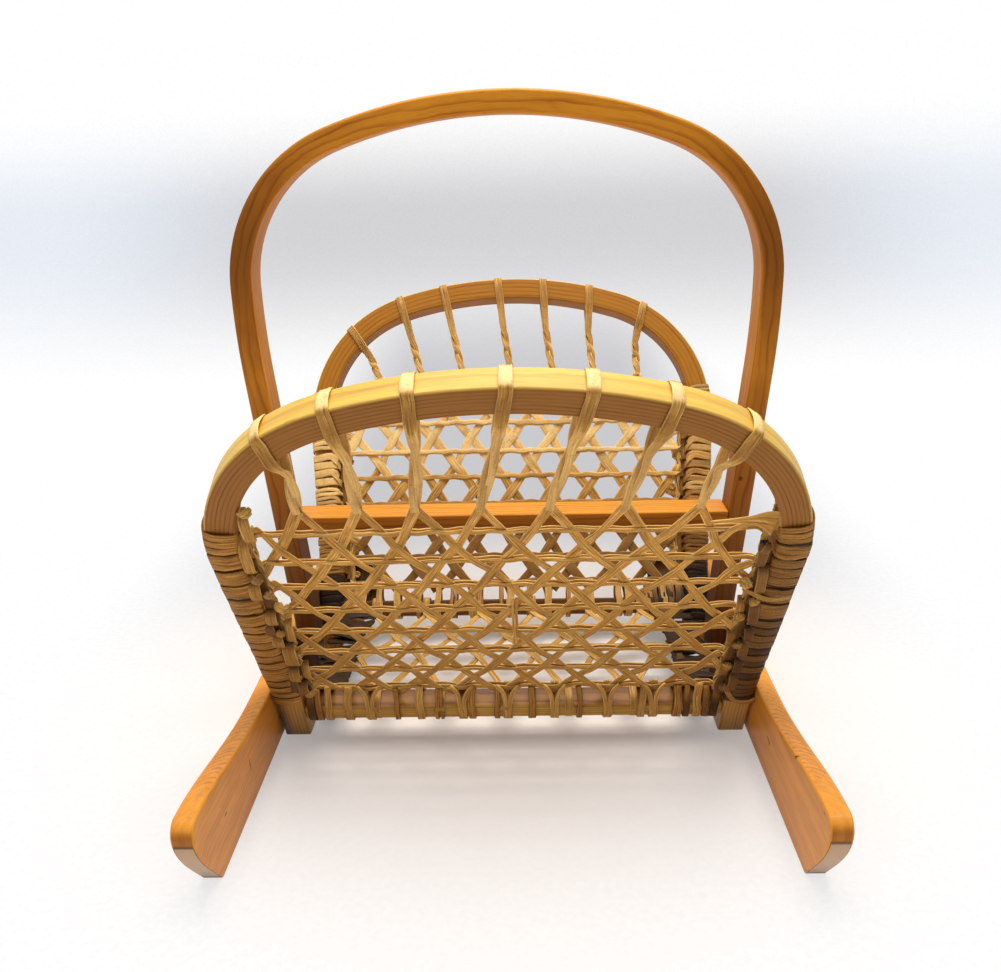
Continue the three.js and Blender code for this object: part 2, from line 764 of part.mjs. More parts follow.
const rack = new THREE.Group();
rack.name = "magazine_rack";
const finishes = {
  ash: material(colours.ash, 0.45),
  paleAsh: material(colours.paleAsh, 0.5),
  rawhide: material(colours.rawhide, 0.55),
  wrap: material(colours.wrap, 0.6),
  steel: material(colours.steel, 0.35, 1),
};
addFeet(rack, finishes.ash, finishes.steel);
addHandle(rack, finishes.ash);
for (const side of panelSides) addPanel(rack, side, finishes);
addBottomNet(rack, finishes.rawhide);

export default rack;
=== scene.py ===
"""A magazine rack made like snowshoes: bent ash hoops laced with rawhide, standing on two boards on edge.

Sizes are in millimetres, as in the part's source. A panel's own axes are x across, y up its slope and z out
of its front face, and panel_place() stands it in the rack. Wood carries the attribute "grain", rawhide the
attributes "lie" and "backing", so that each pattern follows its own strip.
"""

import math
import random
from types import SimpleNamespace

import bmesh
import bpy
from mathutils import Matrix, Vector, noise


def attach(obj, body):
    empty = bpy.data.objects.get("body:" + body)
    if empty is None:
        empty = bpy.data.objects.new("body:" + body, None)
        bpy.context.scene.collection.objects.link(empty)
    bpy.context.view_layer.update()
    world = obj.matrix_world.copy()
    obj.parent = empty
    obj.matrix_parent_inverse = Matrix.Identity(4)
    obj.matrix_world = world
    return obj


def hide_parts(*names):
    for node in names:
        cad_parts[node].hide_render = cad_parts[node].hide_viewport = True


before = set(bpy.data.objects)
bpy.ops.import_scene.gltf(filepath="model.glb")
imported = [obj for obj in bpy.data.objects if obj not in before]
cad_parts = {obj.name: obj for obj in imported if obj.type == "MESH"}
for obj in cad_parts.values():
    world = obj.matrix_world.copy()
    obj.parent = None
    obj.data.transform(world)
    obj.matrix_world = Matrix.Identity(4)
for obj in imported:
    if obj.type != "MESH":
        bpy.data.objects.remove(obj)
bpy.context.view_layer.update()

MM = 0.001
PICTURE = (1001, 972)
random.seed(7)

# Camera: where the photograph was taken from
FOCAL_PIXELS = 1000
CAMERA_PLACE = Vector((9.54, -628.6, 345.0))
CAMERA_DOWN, CAMERA_TURN, CAMERA_ROLL = 0.310, -0.025, -0.024

# Wood
PANEL_LEAN = math.radians(27.1)
PANEL_FOOT_SPACING = 135.6
PANEL = SimpleNamespace(leg=146.1, straight=48, half=155.2, height=283, crown=281, corner=99, side=200,
                        stock=16, depth=15.5, ease=1.3)
HANDLE = SimpleNamespace(leg=147.7, straight=50, half=168.6, height=387.5, crown=300, corner=98, side=550,
                         stock=13.6, depth=25.4, ease=2.0)
BEND_RADIUS = 150  # of the soft bend where a leg starts to lean
FLOOR_OVERRUN = 12  # how far a leg is bent on below the floor before it is sawn off
STRETCHER = SimpleNamespace(top=128, height=12, ease=1.0)
CROSSBAR = SimpleNamespace(bottom=16.7, width=11.6, thickness=14.3, ease=1.5, half=129.8)
FOOT = SimpleNamespace(inner=148, thickness=11.4, length=472, sole=407, waist=41, waist_length=190, toe=55,
                       toe_radius=8, nose=46, ease=1.2)
SCREW = SimpleNamespace(head=4, head_depth=2.4, proud=0.15, ease=0.35, slot=1.0, slot_depth=0.9, shank=2,
                        tip=0.9, shank_start=2.1, length=22, stretcher_length=36)
# The screws through a board: how far along it and how high each lies
SCREW_PLACES = (("front_panel_screw", -63.7, 9), ("back_panel_screw", 63.7, 9), ("handle_screw_1", -5.5, 13),
                ("handle_screw_2", 5.5, 30))
EASE_STEPS = 3

# Rawhide
NET_DEPTH = PANEL.depth / 2
IN_FRONT, BEHIND, OVER_RAIL = 0.42, -0.38, 1.2  # places of a slanting strand in the depth of the net
NEARLY_BLACK = 1.95  # the tone of the nearly black straps
STRAP_SIDES = 10
STRAP_STEP = 2.4
SEAM = 0.0005

FRONT_NET = SimpleNamespace(
    rails=(181.5, 159, 138.5, 117.5, 97.5, 78, 60, 42),
    rows=(199, 170, 149, 128, 107, 88, 69, 51, 35),
    first=-101, pitch=15.7,
    gathers=(-106, -75, -46, -13, 22, 60, 98),
    arch=(-115, -81, -42, 2, 41, 79, 117),
    wide=5.5, narrow=5.1, rail=3.1, tones=(0.55, -0.05), fades=(60, 195),
)
BACK_NET = SimpleNamespace(
    rails=(187, 167, 144, 124, 103, 82, 62, 42),
    rows=(204, 177, 155.5, 134, 113.5, 92.5, 72, 52, 36),
    first=-88.5, pitch=14.7,
    gathers=(-100, -66, -34, -1, 37, 70, 104),
    arch=(-107, -64, -27, 9, 53, 88, 127),
    wide=6.8, narrow=6.4, rail=3.4, tones=(1.15, -0.6), fades=(80, 150),
)

# A panel's name, its net, its turn round the upright axis, and the way its x axis points in the rack
PANELS = (("front", FRONT_NET, 0, 1), ("back", BACK_NET, math.pi, -1))

# Windings down a leg, each from its top to its bottom, and how many turns lie side by side in it
LEFT_WINDINGS = ((192, 176.5, 3), (176, 163.8, 1), (163, 151.5, 1), (151, 140, 1), (139.2, 126.5, 1),
                 (125.5, 116, 1), (115.5, 109.5, 1), (109, 100.5, 1), (100, 94, 1), (93.6, 87.5, 1),
                 (87, 80.5, 1), (80.2, 74.5, 1), (74, 68, 1), (67.7, 62.5, 1), (62, 56, 1), (55.5, 50, 1),
                 (49.5, 44.5, 1), (44, 36.5, 1))
RIGHT_WINDINGS = ((191, 178, 3), (177.5, 167, 1), (166, 145, 3), (142, 130, 1), (129.5, 117, 1),
                  (115, 109, 1), (108.5, 102.6, 1), (102, 90, 2), (89, 83.5, 1), (83, 77, 1),
                  (76.5, 71.5, 1), (71, 65, 1), (64.5, 59, 1), (58.5, 49, 2), (48.5, 40, 2), (39.5, 36, 1))
# Ties of the net round the crossbar, from the left: the place, and whether it is split in two above the bar
BAR_TIES = ((-114.5, False), (-102, False), (-88.4, True), (-57.5, False), (-31, True), (-2.7, True),
            (26.2, True), (58.8, True), (87, True), (114, False))
# Windings of the bar: the place, the width and the tone
BAR_WINDINGS = ((-125, 5, 1.35), (-120.5, 4, 0.5), (-71.9, 3.4, 0.2), (-47, 2.6, 0), (-44, 2, 0.6),
                (-25.2, 4.4, 0), (-9.5, 3.2, 0.3), (12.1, 4.4, 0.2), (41.6, 3.4, 0.3), (79.8, 5, -0.3),
                (101.9, 6, 0), (107.5, 4, 1.3), (119.5, 4.6, 1.0), (124.5, 5, 1.5))

# The straps beside a front leg, from the top: distance from the middle, top, bottom, width, depth and tone
LEFT_CHAIN = ((131, 203, 184, 5.6, 1.2, 0), (135.4, 183, 159.5, 5.8, 1.2, -0.1),
              (136.3, 152, 137, 6.6, 1.4, 0.3), (132.4, 126.5, 114.5, 6.2, 1, 0.3),
              (135, 117, 103, 5.4, 0.6, 0.8), (132.3, 106, 93.5, 6.4, 1.2, 0.45),
              (127.7, 96.5, 75, 8, 1, 0.45), (128.6, 73.5, 59, 6, 1.4, 0.4), (125.8, 59, 44, 6, 1.2, 0.6),
              (130.6, 66, 47, 5, 0.8, 0.9), (125.6, 113.5, 91, 5.2, -3, 0.1), (122.5, 72, 55, 5, -3, 0.2))
RIGHT_CHAIN = ((131.7, 177.5, 159.4, 5.4, 1.2, 0.75), (134.3, 159.5, 137, 5.6, 1.2, 0.6),
               (134.2, 132.8, 109.6, 5.8, 1.2, 0.9), (134.5, 108.8, 94.7, 5.2, 1.4, 1.0),
               (133.2, 94.8, 79.2, 5.4, 1.2, 0.8), (132.5, 79.3, 63.1, 5.4, 1.4, 1.1),
               (131.8, 63.2, 44, 5.6, 1.2, 0.8), (127.5, 128, 108, 4.8, -3, 0.3),
               (126.2, 100, 84, 5, -3, 0.5), (125.8, 74, 54, 5, -3, 0.6))
# The knots beside it: distance from the middle, height, size, depth and tone
LEFT_KNOTS = ((129.6, 206, 9, -1, 0.1), (133, 157.5, 9, 1.2, 0.9), (130, 142, 6.5, 0, 0.6),
              (125.6, 129, 9.5, -2.5, -0.2), (129.5, 108, 6, 0, 0.7), (124, 84, 6, -2, 0.5),
              (126.5, 66, 6, 1, 0.7), (123, 48, 7, 0, 0.4))
RIGHT_KNOTS = ((132, 176.5, 8.5, 1.2, 1.1), (133, 133, 7, 1.4, 0.5), (127.4, 143.5, 9.5, -3, 0.2),
               (128, 116, 7, -2, 0.5), (129.5, 92, 7, 0, 0.9), (127, 70, 7.5, -1, 0.7),
               (127.5, 50, 7, 0, 1.0))


def hex_colour(code):
    """An sRGB hex colour, in linear light."""
    channels = [int(code[i:i + 2], 16) / 255 for i in (1, 3, 5)]
    return (*[c / 12.92 if c <= 0.04045 else ((c + 0.055) / 1.055) ** 2.4 for c in channels], 1.0)


def make_camera():
    data = bpy.data.cameras.new("camera")
    data.sensor_width = 36
    data.lens = FOCAL_PIXELS * data.sensor_width / PICTURE[0]
    data.clip_start, data.clip_end = 0.01, 50
    ahead = Vector((math.sin(CAMERA_TURN) * math.cos(CAMERA_DOWN),
                    math.cos(CAMERA_TURN) * math.cos(CAMERA_DOWN),
                    -math.sin(CAMERA_DOWN)))
    level = Vector((math.cos(CAMERA_TURN), -math.sin(CAMERA_TURN), 0))
    upright = level.cross(ahead)
    right = level * math.cos(CAMERA_ROLL) + upright * math.sin(CAMERA_ROLL)
    up = upright * math.cos(CAMERA_ROLL) - level * math.sin(CAMERA_ROLL)
    camera = bpy.data.objects.new("camera", data)
    turn = Matrix((right, up, -ahead)).transposed().to_4x4()
    camera.matrix_world = Matrix.Translation(CAMERA_PLACE * MM) @ turn
    bpy.context.scene.collection.objects.link(camera)
    bpy.context.scene.camera = camera


# Materials


def node(tree, kind, inputs=None, stops=None, **settings):
    """Adds a shader node. An input that is another node's socket is linked, any other value is set."""
    made = tree.nodes.new(kind)
    for name, value in settings.items():
        setattr(made, name, value)
    for socket, value in (inputs or {}).items():
        if isinstance(value, bpy.types.NodeSocket):
            tree.links.new(value, made.inputs[socket])
        else:
            made.inputs[socket].default_value = value
    if stops:
        elements = made.color_ramp.elements
        elements[0].position, elements[1].position = stops[0][0], stops[-1][0]
        for place, _ in stops[1:-1]:
            elements.new(place)
        for element, (_, colour) in zip(elements, stops):
            element.color = hex_colour(colour)
    return made


def blank(name):
    """A material with nothing in it but its output."""
    made = bpy.data.materials.new(name)
    made.use_nodes = True
    made.node_tree.nodes.clear()
    return made, made.node_tree


def finish_surface(tree, inputs):
    surface = node(tree, "ShaderNodeBsdfPrincipled", inputs)
    node(tree, "ShaderNodeOutputMaterial", {"Surface": surface.outputs[0]})


COLOUR_A, COLOUR_B, COLOUR_OUT = 6, 7, 2  # sockets of a Mix node set to colour


def rack_place(tree):
    return node(tree, "ShaderNodeTexCoord").outputs["Object"]


def attribute(tree, name, output="Fac"):
    return node(tree, "ShaderNodeAttribute", attribute_name=name).outputs[output]


def fractal(tree, where, scale, detail, roughness=0.5):
    """Noise at a place. A scale for each axis stretches it."""
    if isinstance(scale, tuple):
        where = node(tree, "ShaderNodeMapping", {"Vector": where, "Scale": scale}).outputs[0]
        scale = 1.0
    return node(tree, "ShaderNodeTexNoise", {"Vector": where, "Scale": scale, "Detail": detail,
                                             "Roughness": roughness}).outputs["Fac"]


def remap(tree, value, low, high, bottom=0.0, top=1.0, soft=False):
    """A value carried from one range to another, and held at its ends."""
    return node(tree, "ShaderNodeMapRange",
                {"Value": value, "From Min": low, "From Max": high, "To Min": bottom, "To Max": top},
                interpolation_type="SMOOTHSTEP" if soft else "LINEAR").outputs[0]


def maths(tree, way, a, b=0.0, clamp=False):
    return node(tree, "ShaderNodeMath", {0: a, 1: b}, operation=way, use_clamp=clamp).outputs[0]


def vector_maths(tree, way, a, b=(0, 0, 0), output=0):
    return node(tree, "ShaderNodeVectorMath", {0: a, 1: b}, operation=way).outputs[output]


def hump(tree, value, low, rise, fall, high):
    """1 between two values, with a soft slope to 0 on each side."""
    return maths(tree, "MULTIPLY", remap(tree, value, low, rise, soft=True),
                 remap(tree, value, high, fall, soft=True))


def blend(tree, share, a, b, way="MIX"):
    """A share of the second colour on the first. A colour is a socket or a hex code."""
    a, b = (hex_colour(colour) if isinstance(colour, str) else colour for colour in (a, b))
    return node(tree, "ShaderNodeMix", {0: share, COLOUR_A: a, COLOUR_B: b}, data_type="RGBA",
                blend_type=way).outputs[COLOUR_OUT]


def varnished_ash(name, early, late, toned, ring_width, wander_width, coat, marks=()):
    """Ash, sawn, steam-bent and varnished: pale early wood with a thin, browner late line in every ring,
    short open pores along the fibre, and slow changes of tone under a satin coat. A tone on each face browns
    it, mostly as painted light and shade, and "figure" says how strongly the rings show on it. Marks are
    small knots and bruises, and some broad dark patches that are painted shade."""
    made, tree = blank(name)
    where = rack_place(tree)
    lie = attribute(tree, "grain", "Vector")
    painted_shade_and_tone = attribute(tree, "painted_shade_and_tone")
    # slow wander of the rings along the strip, over about 90 mm
    wander = remap(tree, fractal(tree, lie, (11, 60, 60), 3.0), 0, 1, -wander_width * MM, wander_width * MM)
    wander = node(tree, "ShaderNodeCombineXYZ", {"Y": wander}).outputs[0]
    place = vector_maths(tree, "ADD", lie, wander)
    # a wave of scale s has a band every 0.314 / s metres
    rings = node(tree, "ShaderNodeTexWave",
                 {"Vector": place, "Scale": 0.314 / (ring_width * MM), "Distortion": 0.8, "Detail": 2.0,
                  "Detail Scale": 0.4, "Detail Roughness": 0.6},
                 wave_type="BANDS", bands_direction="Y", wave_profile="SAW").outputs["Fac"]
    # some rings are strong and some faint, and they fade in and out over 60 mm
    strength = remap(tree, fractal(tree, lie, (14, 260, 260), 1.0), 0.3, 0.7, 0.15, 0.95)
    strength = maths(tree, "MULTIPLY", strength, attribute(tree, "figure"))
    line = maths(tree, "MULTIPLY", remap(tree, rings, 0.55, 0.9, soft=True), strength)
    colour = blend(tree, line, early, late)
    # pores: 0.5 mm wide and about 12 mm long, drawn twice as wide as they are so that they show
    pores = fractal(tree, lie, (80, 1500, 1500), 3.0)
    colour = blend(tree, remap(tree, pores, 0.54, 0.8, 0, 0.45), colour, late)
    # broad tone: streaks 5 mm wide and 60 mm long that drift along the strip
    streaks = remap(tree, fractal(tree, lie, (16, 210, 210), 3.0), 0.35, 0.75, 0, 0.34)
    colour = blend(tree, maths(tree, "ADD", painted_shade_and_tone, streaks, clamp=True), colour, toned, "MULTIPLY")
    # below 0 it turns to amber, from 1 to 2 to dark brown, and from 2 to 3 to grey. These are mostly painted
    # light and shade: amber on the back frame, which faces the light, dark brown as painted shade inside the
    # rack and on faces turned from the light, and grey as a painted reflection of the floor on the boards'
    # toes
    colour = blend(tree, remap(tree, painted_shade_and_tone, 0, -1), colour, "#b99450", "MULTIPLY")
    colour = blend(tree, remap(tree, painted_shade_and_tone, 1, 2), colour, "#8c8250", "MULTIPLY")
    colour = blend(tree, remap(tree, painted_shade_and_tone, 2, 3), colour, "#c6a688")
    for centre, size in marks:
        away = where
        for way, value in (("SUBTRACT", centre), ("DIVIDE", size)):
            away = vector_maths(tree, way, away, Vector(value) * MM)
        away = vector_maths(tree, "LENGTH", away, output="Value")
        colour = blend(tree, remap(tree, away, 1.1, 0.5, 0, 0.8), colour, "#3a1d0a")
    relief = node(tree, "ShaderNodeBump", {"Height": pores, "Strength": 0.2, "Distance": 0.0004},
                  invert=True).outputs[0]
    finish_surface(tree, {"Base Color": colour, "Roughness": remap(tree, pores, 0, 1, 0.4, 0.56),
                          "Normal": relief, "IOR": 1.45, "Specular IOR Level": 0.25, "Coat Weight": coat,
                          "Coat Roughness": 0.16})
    return made


def varnished_rawhide(name, pale, tan, brown, rim, rim_share, glow, free):
    """Rawhide, cut in strips, dried and varnished: fibres along the strip, clouds and specks of brown where
    it is thin, raised edges that are lighter on the strands and darker on the bindings, as painted shade
    between their turns, and light that comes through it."""
    made, tree = blank(name)
    where = rack_place(tree)
    lie = attribute(tree, "lie", "Vector")
    backing = attribute(tree, "backing")
    # fibres: about 0.8 mm across a 6 mm strip and 20 mm long
    fibres = fractal(tree, lie, (60, 4.2, 37), 3.0)
    colour = node(tree, "ShaderNodeValToRGB", {"Fac": fibres},
                  stops=((0.34, brown), (0.45, tan), (0.54, tan), (0.66, pale))).outputs["Color"]
    # where it hangs free in one thin layer, it is paler: painted light coming through it from behind
    colour = blend(tree, remap(tree, backing, 0, -1), colour, free)
    # clouds of 7 mm, specks of 1 mm, and lengths of 50 mm that dried browner
    clouds = fractal(tree, where, 140.0, 2.0)
    browned = remap(tree, clouds, 0.5, 0.75, 0, 0.3)
    specks = remap(tree, fractal(tree, where, 950.0, 2.0), 0.55, 0.7, 0, 0.3)
    lengths = remap(tree, fractal(tree, lie, (20, 0.3, 61), 1.0), 0.48, 0.72, 0, 0.5)
    # wood shows through where the strip lies on it
    through = maths(tree, "MULTIPLY", backing, 0.7, clamp=True)
    for tone in (through, lengths):
        browned = maths(tree, "MAXIMUM", browned, tone)
    colour = blend(tree, maths(tree, "ADD", browned, specks, clamp=True), colour, brown)
    across = node(tree, "ShaderNodeSeparateXYZ", {0: lie}).outputs["Y"]
    edge = remap(tree, maths(tree, "ABSOLUTE", across), 0.78, 0.98, 0, rim_share, soft=True)
    colour = blend(tree, edge, colour, rim)
    # from 1 to 2 it goes on to nearly black: on the lower corners, and as painted shade in gaps between turns
    # and behind the chains
    colour = blend(tree, remap(tree, backing, 1, 2, 0, 0.93), colour, "#160d08")
    relief = node(tree, "ShaderNodeBump", {"Height": maths(tree, "ADD", fibres, clouds), "Strength": 0.34,
                                           "Distance": 0.0006}).outputs[0]
    finish_surface(tree, {"Base Color": colour, "Roughness": remap(tree, fibres, 0, 1, 0.5, 0.68),
                          "Normal": relief, "IOR": 1.45, "Specular IOR Level": 0.22,
                          "Subsurface Weight": glow, "Subsurface Radius": (0.0015, 0.0011, 0.0007),
                          "Subsurface Scale": 1.0, "Coat Weight": 0.03, "Coat Roughness": 0.25})
    return made


def plain_steel(name):
    """Steel wood screw, turned and left bright, dulled a little by age in stains of 1 to 2 mm."""
    made, tree = blank(name)
    stains = fractal(tree, rack_place(tree), 600.0, 3.0)
    colour = node(tree, "ShaderNodeValToRGB", {"Fac": stains},
                  stops=((0.35, "#8a8782"), (0.6, "#b4b3b0"))).outputs["Color"]
    finish_surface(tree, {"Base Color": colour, "Roughness": remap(tree, stains, 0, 1, 0.25, 0.5),
                          "Metallic": 1.0})
    return made


finishes = {
    "ash": varnished_ash("amber_varnished_ash", "#f0a22a", "#c46c14", "#b2a25c", 2.6, 4.2, 0.06,
                         (((148.5, -12.7, 150), (1.8, 4, 1.8)), ((143, -12.7, 247), (0.8, 4, 2.2)))),
    "ash_board": varnished_ash("amber_varnished_board", "#ee9f38", "#bc6c1e", "#b2a25c", 2.6, 3.4, 0.12, (
        ((148, -123, 25), (1.5, 1.6, 1.6)), ((148, -120, 26), (1.5, 4.0, 1.0)),
        ((148.5, -174, 49), (2.5, 1.4, 1.6)), ((150, -226, 52), (4.0, 1.6, 0.8)),
        ((-148, -141, 26), (1.5, 1.0, 4.6)), ((-148, -189, 28), (1.5, 2.4, 0.9)),
        # the boards' inner faces are dark inside the rack: painted shade
        ((-148, 62, 20), (5, 128, 130)), ((148, 62, 20), (5, 128, 130)))),
    "pale_ash": varnished_ash("clear_varnished_ash", "#ecc45c", "#b07c34", "#ab8c82", 2.1, 1.2, 0.06,
                              # a dark patch on the front left leg's foot: painted shadow of the gap between
                              # the leg and the board
                              (((-148.5, -74, 14), (9, 40, 60)),)),
    "rawhide": varnished_rawhide("rawhide_strand", "#f4ce7e", "#d0a050", "#8f622c", "#f3d690", 0.35, 0.4,
                                 "#ffdf9c"),
    # the bindings' dark edges are painted shade between their turns
    "rawhide_wrap": varnished_rawhide("rawhide_binding", "#dca658", "#b47e38", "#64421c", "#3e260e", 0.6, 0.1,
                                      "#fbd084"),
    "steel": plain_steel("bright_steel"),
}


# Pieces


def all_of(shape):
    return [*shape.verts, *shape.edges, *shape.faces]


def verts_in(parts):
    return [part for part in parts if isinstance(part, bmesh.types.BMVert)]


def edges_in(parts):
    return [part for part in parts if isinstance(part, bmesh.types.BMEdge)]


def move(shape, verts, by):
    bmesh.ops.translate(shape, vec=by, verts=verts)


def swing(shape, rim, centre, axis, turn, steps):
    """Sweeps a rim round a centre and returns the rim at the far end."""
    return bmesh.ops.spin(shape, geom=rim, cent=centre, axis=axis, angle=turn, steps=steps,
                          use_duplicate=False)["geom_last"]


def draw_out(shape, rim, by):
    """Sweeps a rim's edges straight and returns the rim at the far end."""
    rim = bmesh.ops.extrude_edge_only(shape, edges=edges_in(rim))["geom"]
    move(shape, verts_in(rim), by)
    return [part for part in rim if not isinstance(part, bmesh.types.BMFace)]


def round_off(shape, parts, offset, steps=EASE_STEPS, affect="EDGES"):
    bmesh.ops.bevel(shape, geom=parts, offset=offset, offset_type="OFFSET", segments=steps, profile=0.5,
                    affect=affect, material=-1)


def new_piece(name, shape, place, finish):
    """Puts a shape into the scene at its place, in metres from here on, with its material."""
    bmesh.ops.transform(shape, matrix=Matrix.Scale(MM, 4) @ place, verts=shape.verts)
    for face in shape.faces:
        face.smooth = True
    mesh = bpy.data.meshes.new(name)
    shape.to_mesh(mesh)
    shape.free()
    mesh.materials.append(finish)
    piece = bpy.data.objects.new(name, mesh)
    bpy.context.scene.collection.objects.link(piece)
    return piece


def set_piece(name, shape, place, slot, *nodes, look=None):
    """Closes a shape, sets it in its place in the rack, and hides the nodes it stands for."""
    bmesh.ops.remove_doubles(shape, verts=shape.verts, dist=SEAM)
    bmesh.ops.holes_fill(shape, edges=[edge for edge in shape.edges if edge.is_boundary])
    bmesh.ops.recalc_face_normals(shape, faces=shape.faces)
    piece = new_piece(name, shape, place, finishes[look or slot])
    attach(piece, "root")
    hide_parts(*nodes)
    if not slot.startswith("rawhide"):
        # flat faces stay flat to the eye beside their rounded edges
        piece.modifiers.new("even shading", "WEIGHTED_NORMAL").weight = 80


def panel_place(turn):
    """Leans a panel out and stands it in front; the back one is turned round the upright axis."""
    lean = Matrix.Rotation(math.pi / 2 + PANEL_LEAN, 4, "X")
    standing = Matrix.Translation((0, -PANEL_FOOT_SPACING / 2, 0)) @ lean
    return Matrix.Rotation(turn, 4, "Z") @ standing


# Bent wood


def add_arcs(hoop):
    """Adds the centres and turns of a hoop's arcs to its sizes, worked out as in the part's source."""
    hoop.corner_x = hoop.half - hoop.corner
    hoop.crown_turn = math.asin(hoop.corner_x / (hoop.crown - hoop.corner))
    hoop.crown_y = hoop.height - hoop.crown
    hoop.corner_y = hoop.crown_y + (hoop.crown - hoop.corner) * math.cos(hoop.crown_turn)
    hoop.side_x = hoop.half - hoop.side
    reach = Vector((hoop.leg - hoop.side_x, hoop.corner_y - hoop.straight))
    hoop.lean = math.atan2(reach.y, reach.x) - math.acos(hoop.side / reach.length)


add_arcs(PANEL)
add_arcs(HANDLE)


def leg_x(hoop, inset, height):
    """Half the width of a hoop at a height, inset from its outer face."""
    if height > hoop.corner_y:
        radius = hoop.corner - inset
        return hoop.corner_x + math.sqrt(radius ** 2 - (height - hoop.corner_y) ** 2)
    radius = hoop.side - inset
    if height > hoop.corner_y - radius * math.sin(hoop.lean):
        return hoop.side_x + math.sqrt(radius ** 2 - (hoop.corner_y - height) ** 2)
    bend = hoop.straight + inset * math.tan(hoop.lean / 2)
    return hoop.leg - inset + max(0, height - bend) * math.tan(hoop.lean)


def arch_point(hoop, x, inset):
    """A point on the arch above a distance from the middle, and the way straight out of the arch there."""
    on_crown = math.asin(abs(x) / hoop.crown)
    if on_crown < hoop.crown_turn:
        turn, radius, centre = on_crown, hoop.crown, Vector((0, hoop.crown_y))
    else:
        turn = math.asin((abs(x) - hoop.corner_x) / hoop.corner)
        radius, centre = hoop.corner, Vector((hoop.corner_x, hoop.corner_y))
    out = Vector((math.sin(turn), math.cos(turn)))
    at = centre + out * (radius - inset)
    side = math.copysign(1, x)
    return Vector((side * at.x, at.y, 0)), Vector((side * out.x, out.y, 0))


def strip_section(stock, depth, ease):
    """The rim of a strip's rounded section, with its outer face at y = 0 and its front face at z = 0."""
    shape = bmesh.new()
    corners = bmesh.ops.create_grid(shape, x_segments=1, y_segments=1, size=0.5)["verts"]
    bmesh.ops.rotate(shape, verts=corners, matrix=Matrix.Rotation(math.pi / 2, 3, "Y"))
    bmesh.ops.scale(shape, vec=(1, stock, depth), verts=corners)
    move(shape, corners, (0, -stock / 2, -depth / 2))
    round_off(shape, corners, ease, EASE_STEPS, "VERTICES")
    return shape


def bent_hoop(hoop, bottom, ring_tilt, seed, painted_shade_and_tone):
    """Bends a strip: over the crown, round the corner and down the side, then on as a straight leaning leg, a
    soft bend and an upright foot. The other half is its mirror image."""
    shape = strip_section(hoop.stock, hoop.depth, hoop.ease)
    bmesh.ops.delete(shape, geom=list(shape.faces), context="FACES_ONLY")
    move(shape, shape.verts, (0, hoop.height, 0))
    rim = list(shape.edges) + list(shape.verts)
    corner, lean, upward = Vector((hoop.corner_x, hoop.corner_y, 0)), hoop.lean, (0, 0, 1)
    side_centre = Vector((hoop.side_x, hoop.corner_y, 0))
    for centre, turn, steps in ((Vector((0, hoop.crown_y, 0)), -hoop.crown_turn, 16),
                                (corner, hoop.crown_turn - math.pi / 2, 28), (side_centre, -lean, 6)):
        rim = swing(shape, rim, centre, upward, turn, steps)
    bend_centre = Vector((hoop.leg + BEND_RADIUS, hoop.straight - BEND_RADIUS * math.tan(lean / 2), 0))
    bend_start = bend_centre + BEND_RADIUS * Vector((-math.cos(lean), math.sin(lean), 0))
    side_end = side_centre + hoop.side * Vector((math.cos(lean), -math.sin(lean), 0))
    rim = draw_out(shape, rim, bend_start - side_end)
    rim = swing(shape, rim, bend_centre, upward, lean, 4)
    draw_out(shape, rim, (0, bottom - bend_centre.y, 0))
    bmesh.ops.mirror(shape, geom=all_of(shape), matrix=Matrix.Identity(4), merge_dist=SEAM, axis="X")

    def lie(p):
        run, inset = hoop_run(hoop, abs(p.x), p.y, hoop.stock / 2)
        ring = inset * math.cos(ring_tilt) - p.z * math.sin(ring_tilt)
        return (math.copysign(run, p.x) + seed, ring, p.z), painted_shade_and_tone(run, inset), 0.55 if inset < 0.2 else 1.0

    lay_grain(shape, lie)
    return shape


def hoop_run(hoop, x, y, middle):
    """How far along the strip a point lies from the top of the crown, and how far in from the outer face."""
    crown_length = hoop.crown_turn * (hoop.crown - middle)
    if y < hoop.corner_y:
        corner_length = (math.pi / 2 - hoop.crown_turn) * (hoop.corner - middle)
        return crown_length + corner_length + hoop.corner_y - y, leg_x(hoop, 0, y) - x
    turn = math.atan2(x, y - hoop.crown_y)
    if turn <= hoop.crown_turn:
        return turn * (hoop.crown - middle), hoop.crown - math.hypot(x, y - hoop.crown_y)
    turn = math.atan2(x - hoop.corner_x, y - hoop.corner_y)
    inset = hoop.corner - math.hypot(x - hoop.corner_x, y - hoop.corner_y)
    return crown_length + (turn - hoop.crown_turn) * (hoop.corner - middle), inset


def lay_grain(shape, lie):
    """Writes for each point where it lies in its wood, how browned it is, mostly as painted light and shade,
    and how strongly its rings show.
    """
    layers = shape.verts.layers
    grain = layers.float_vector.new("grain")
    tones = layers.float.new("painted_shade_and_tone")
    figure = layers.float.new("figure")
    for vert in shape.verts:
        place, vert[tones], vert[figure] = lie(vert.co)
        vert[grain] = Vector(place) * MM


def ramp(value, low, high):
    """0 up to low, 1 from high on, and a soft slope between."""
    share = min(max((value - low) / (high - low), 0), 1)
    return share * share * (3 - 2 * share)


def handle_painted_shade(run, inset):
    """Painted shade: browned most 195 mm from its top, where it was bent hardest, though not on its inner
    face there, and down inside the rack.
    """
    bent = 1.2 * math.exp(-((run - 195) / 62) ** 2) * ramp(inset, HANDLE.stock, 12)
    return 0.2 + bent + 1.8 * ramp(run, 355, 395)


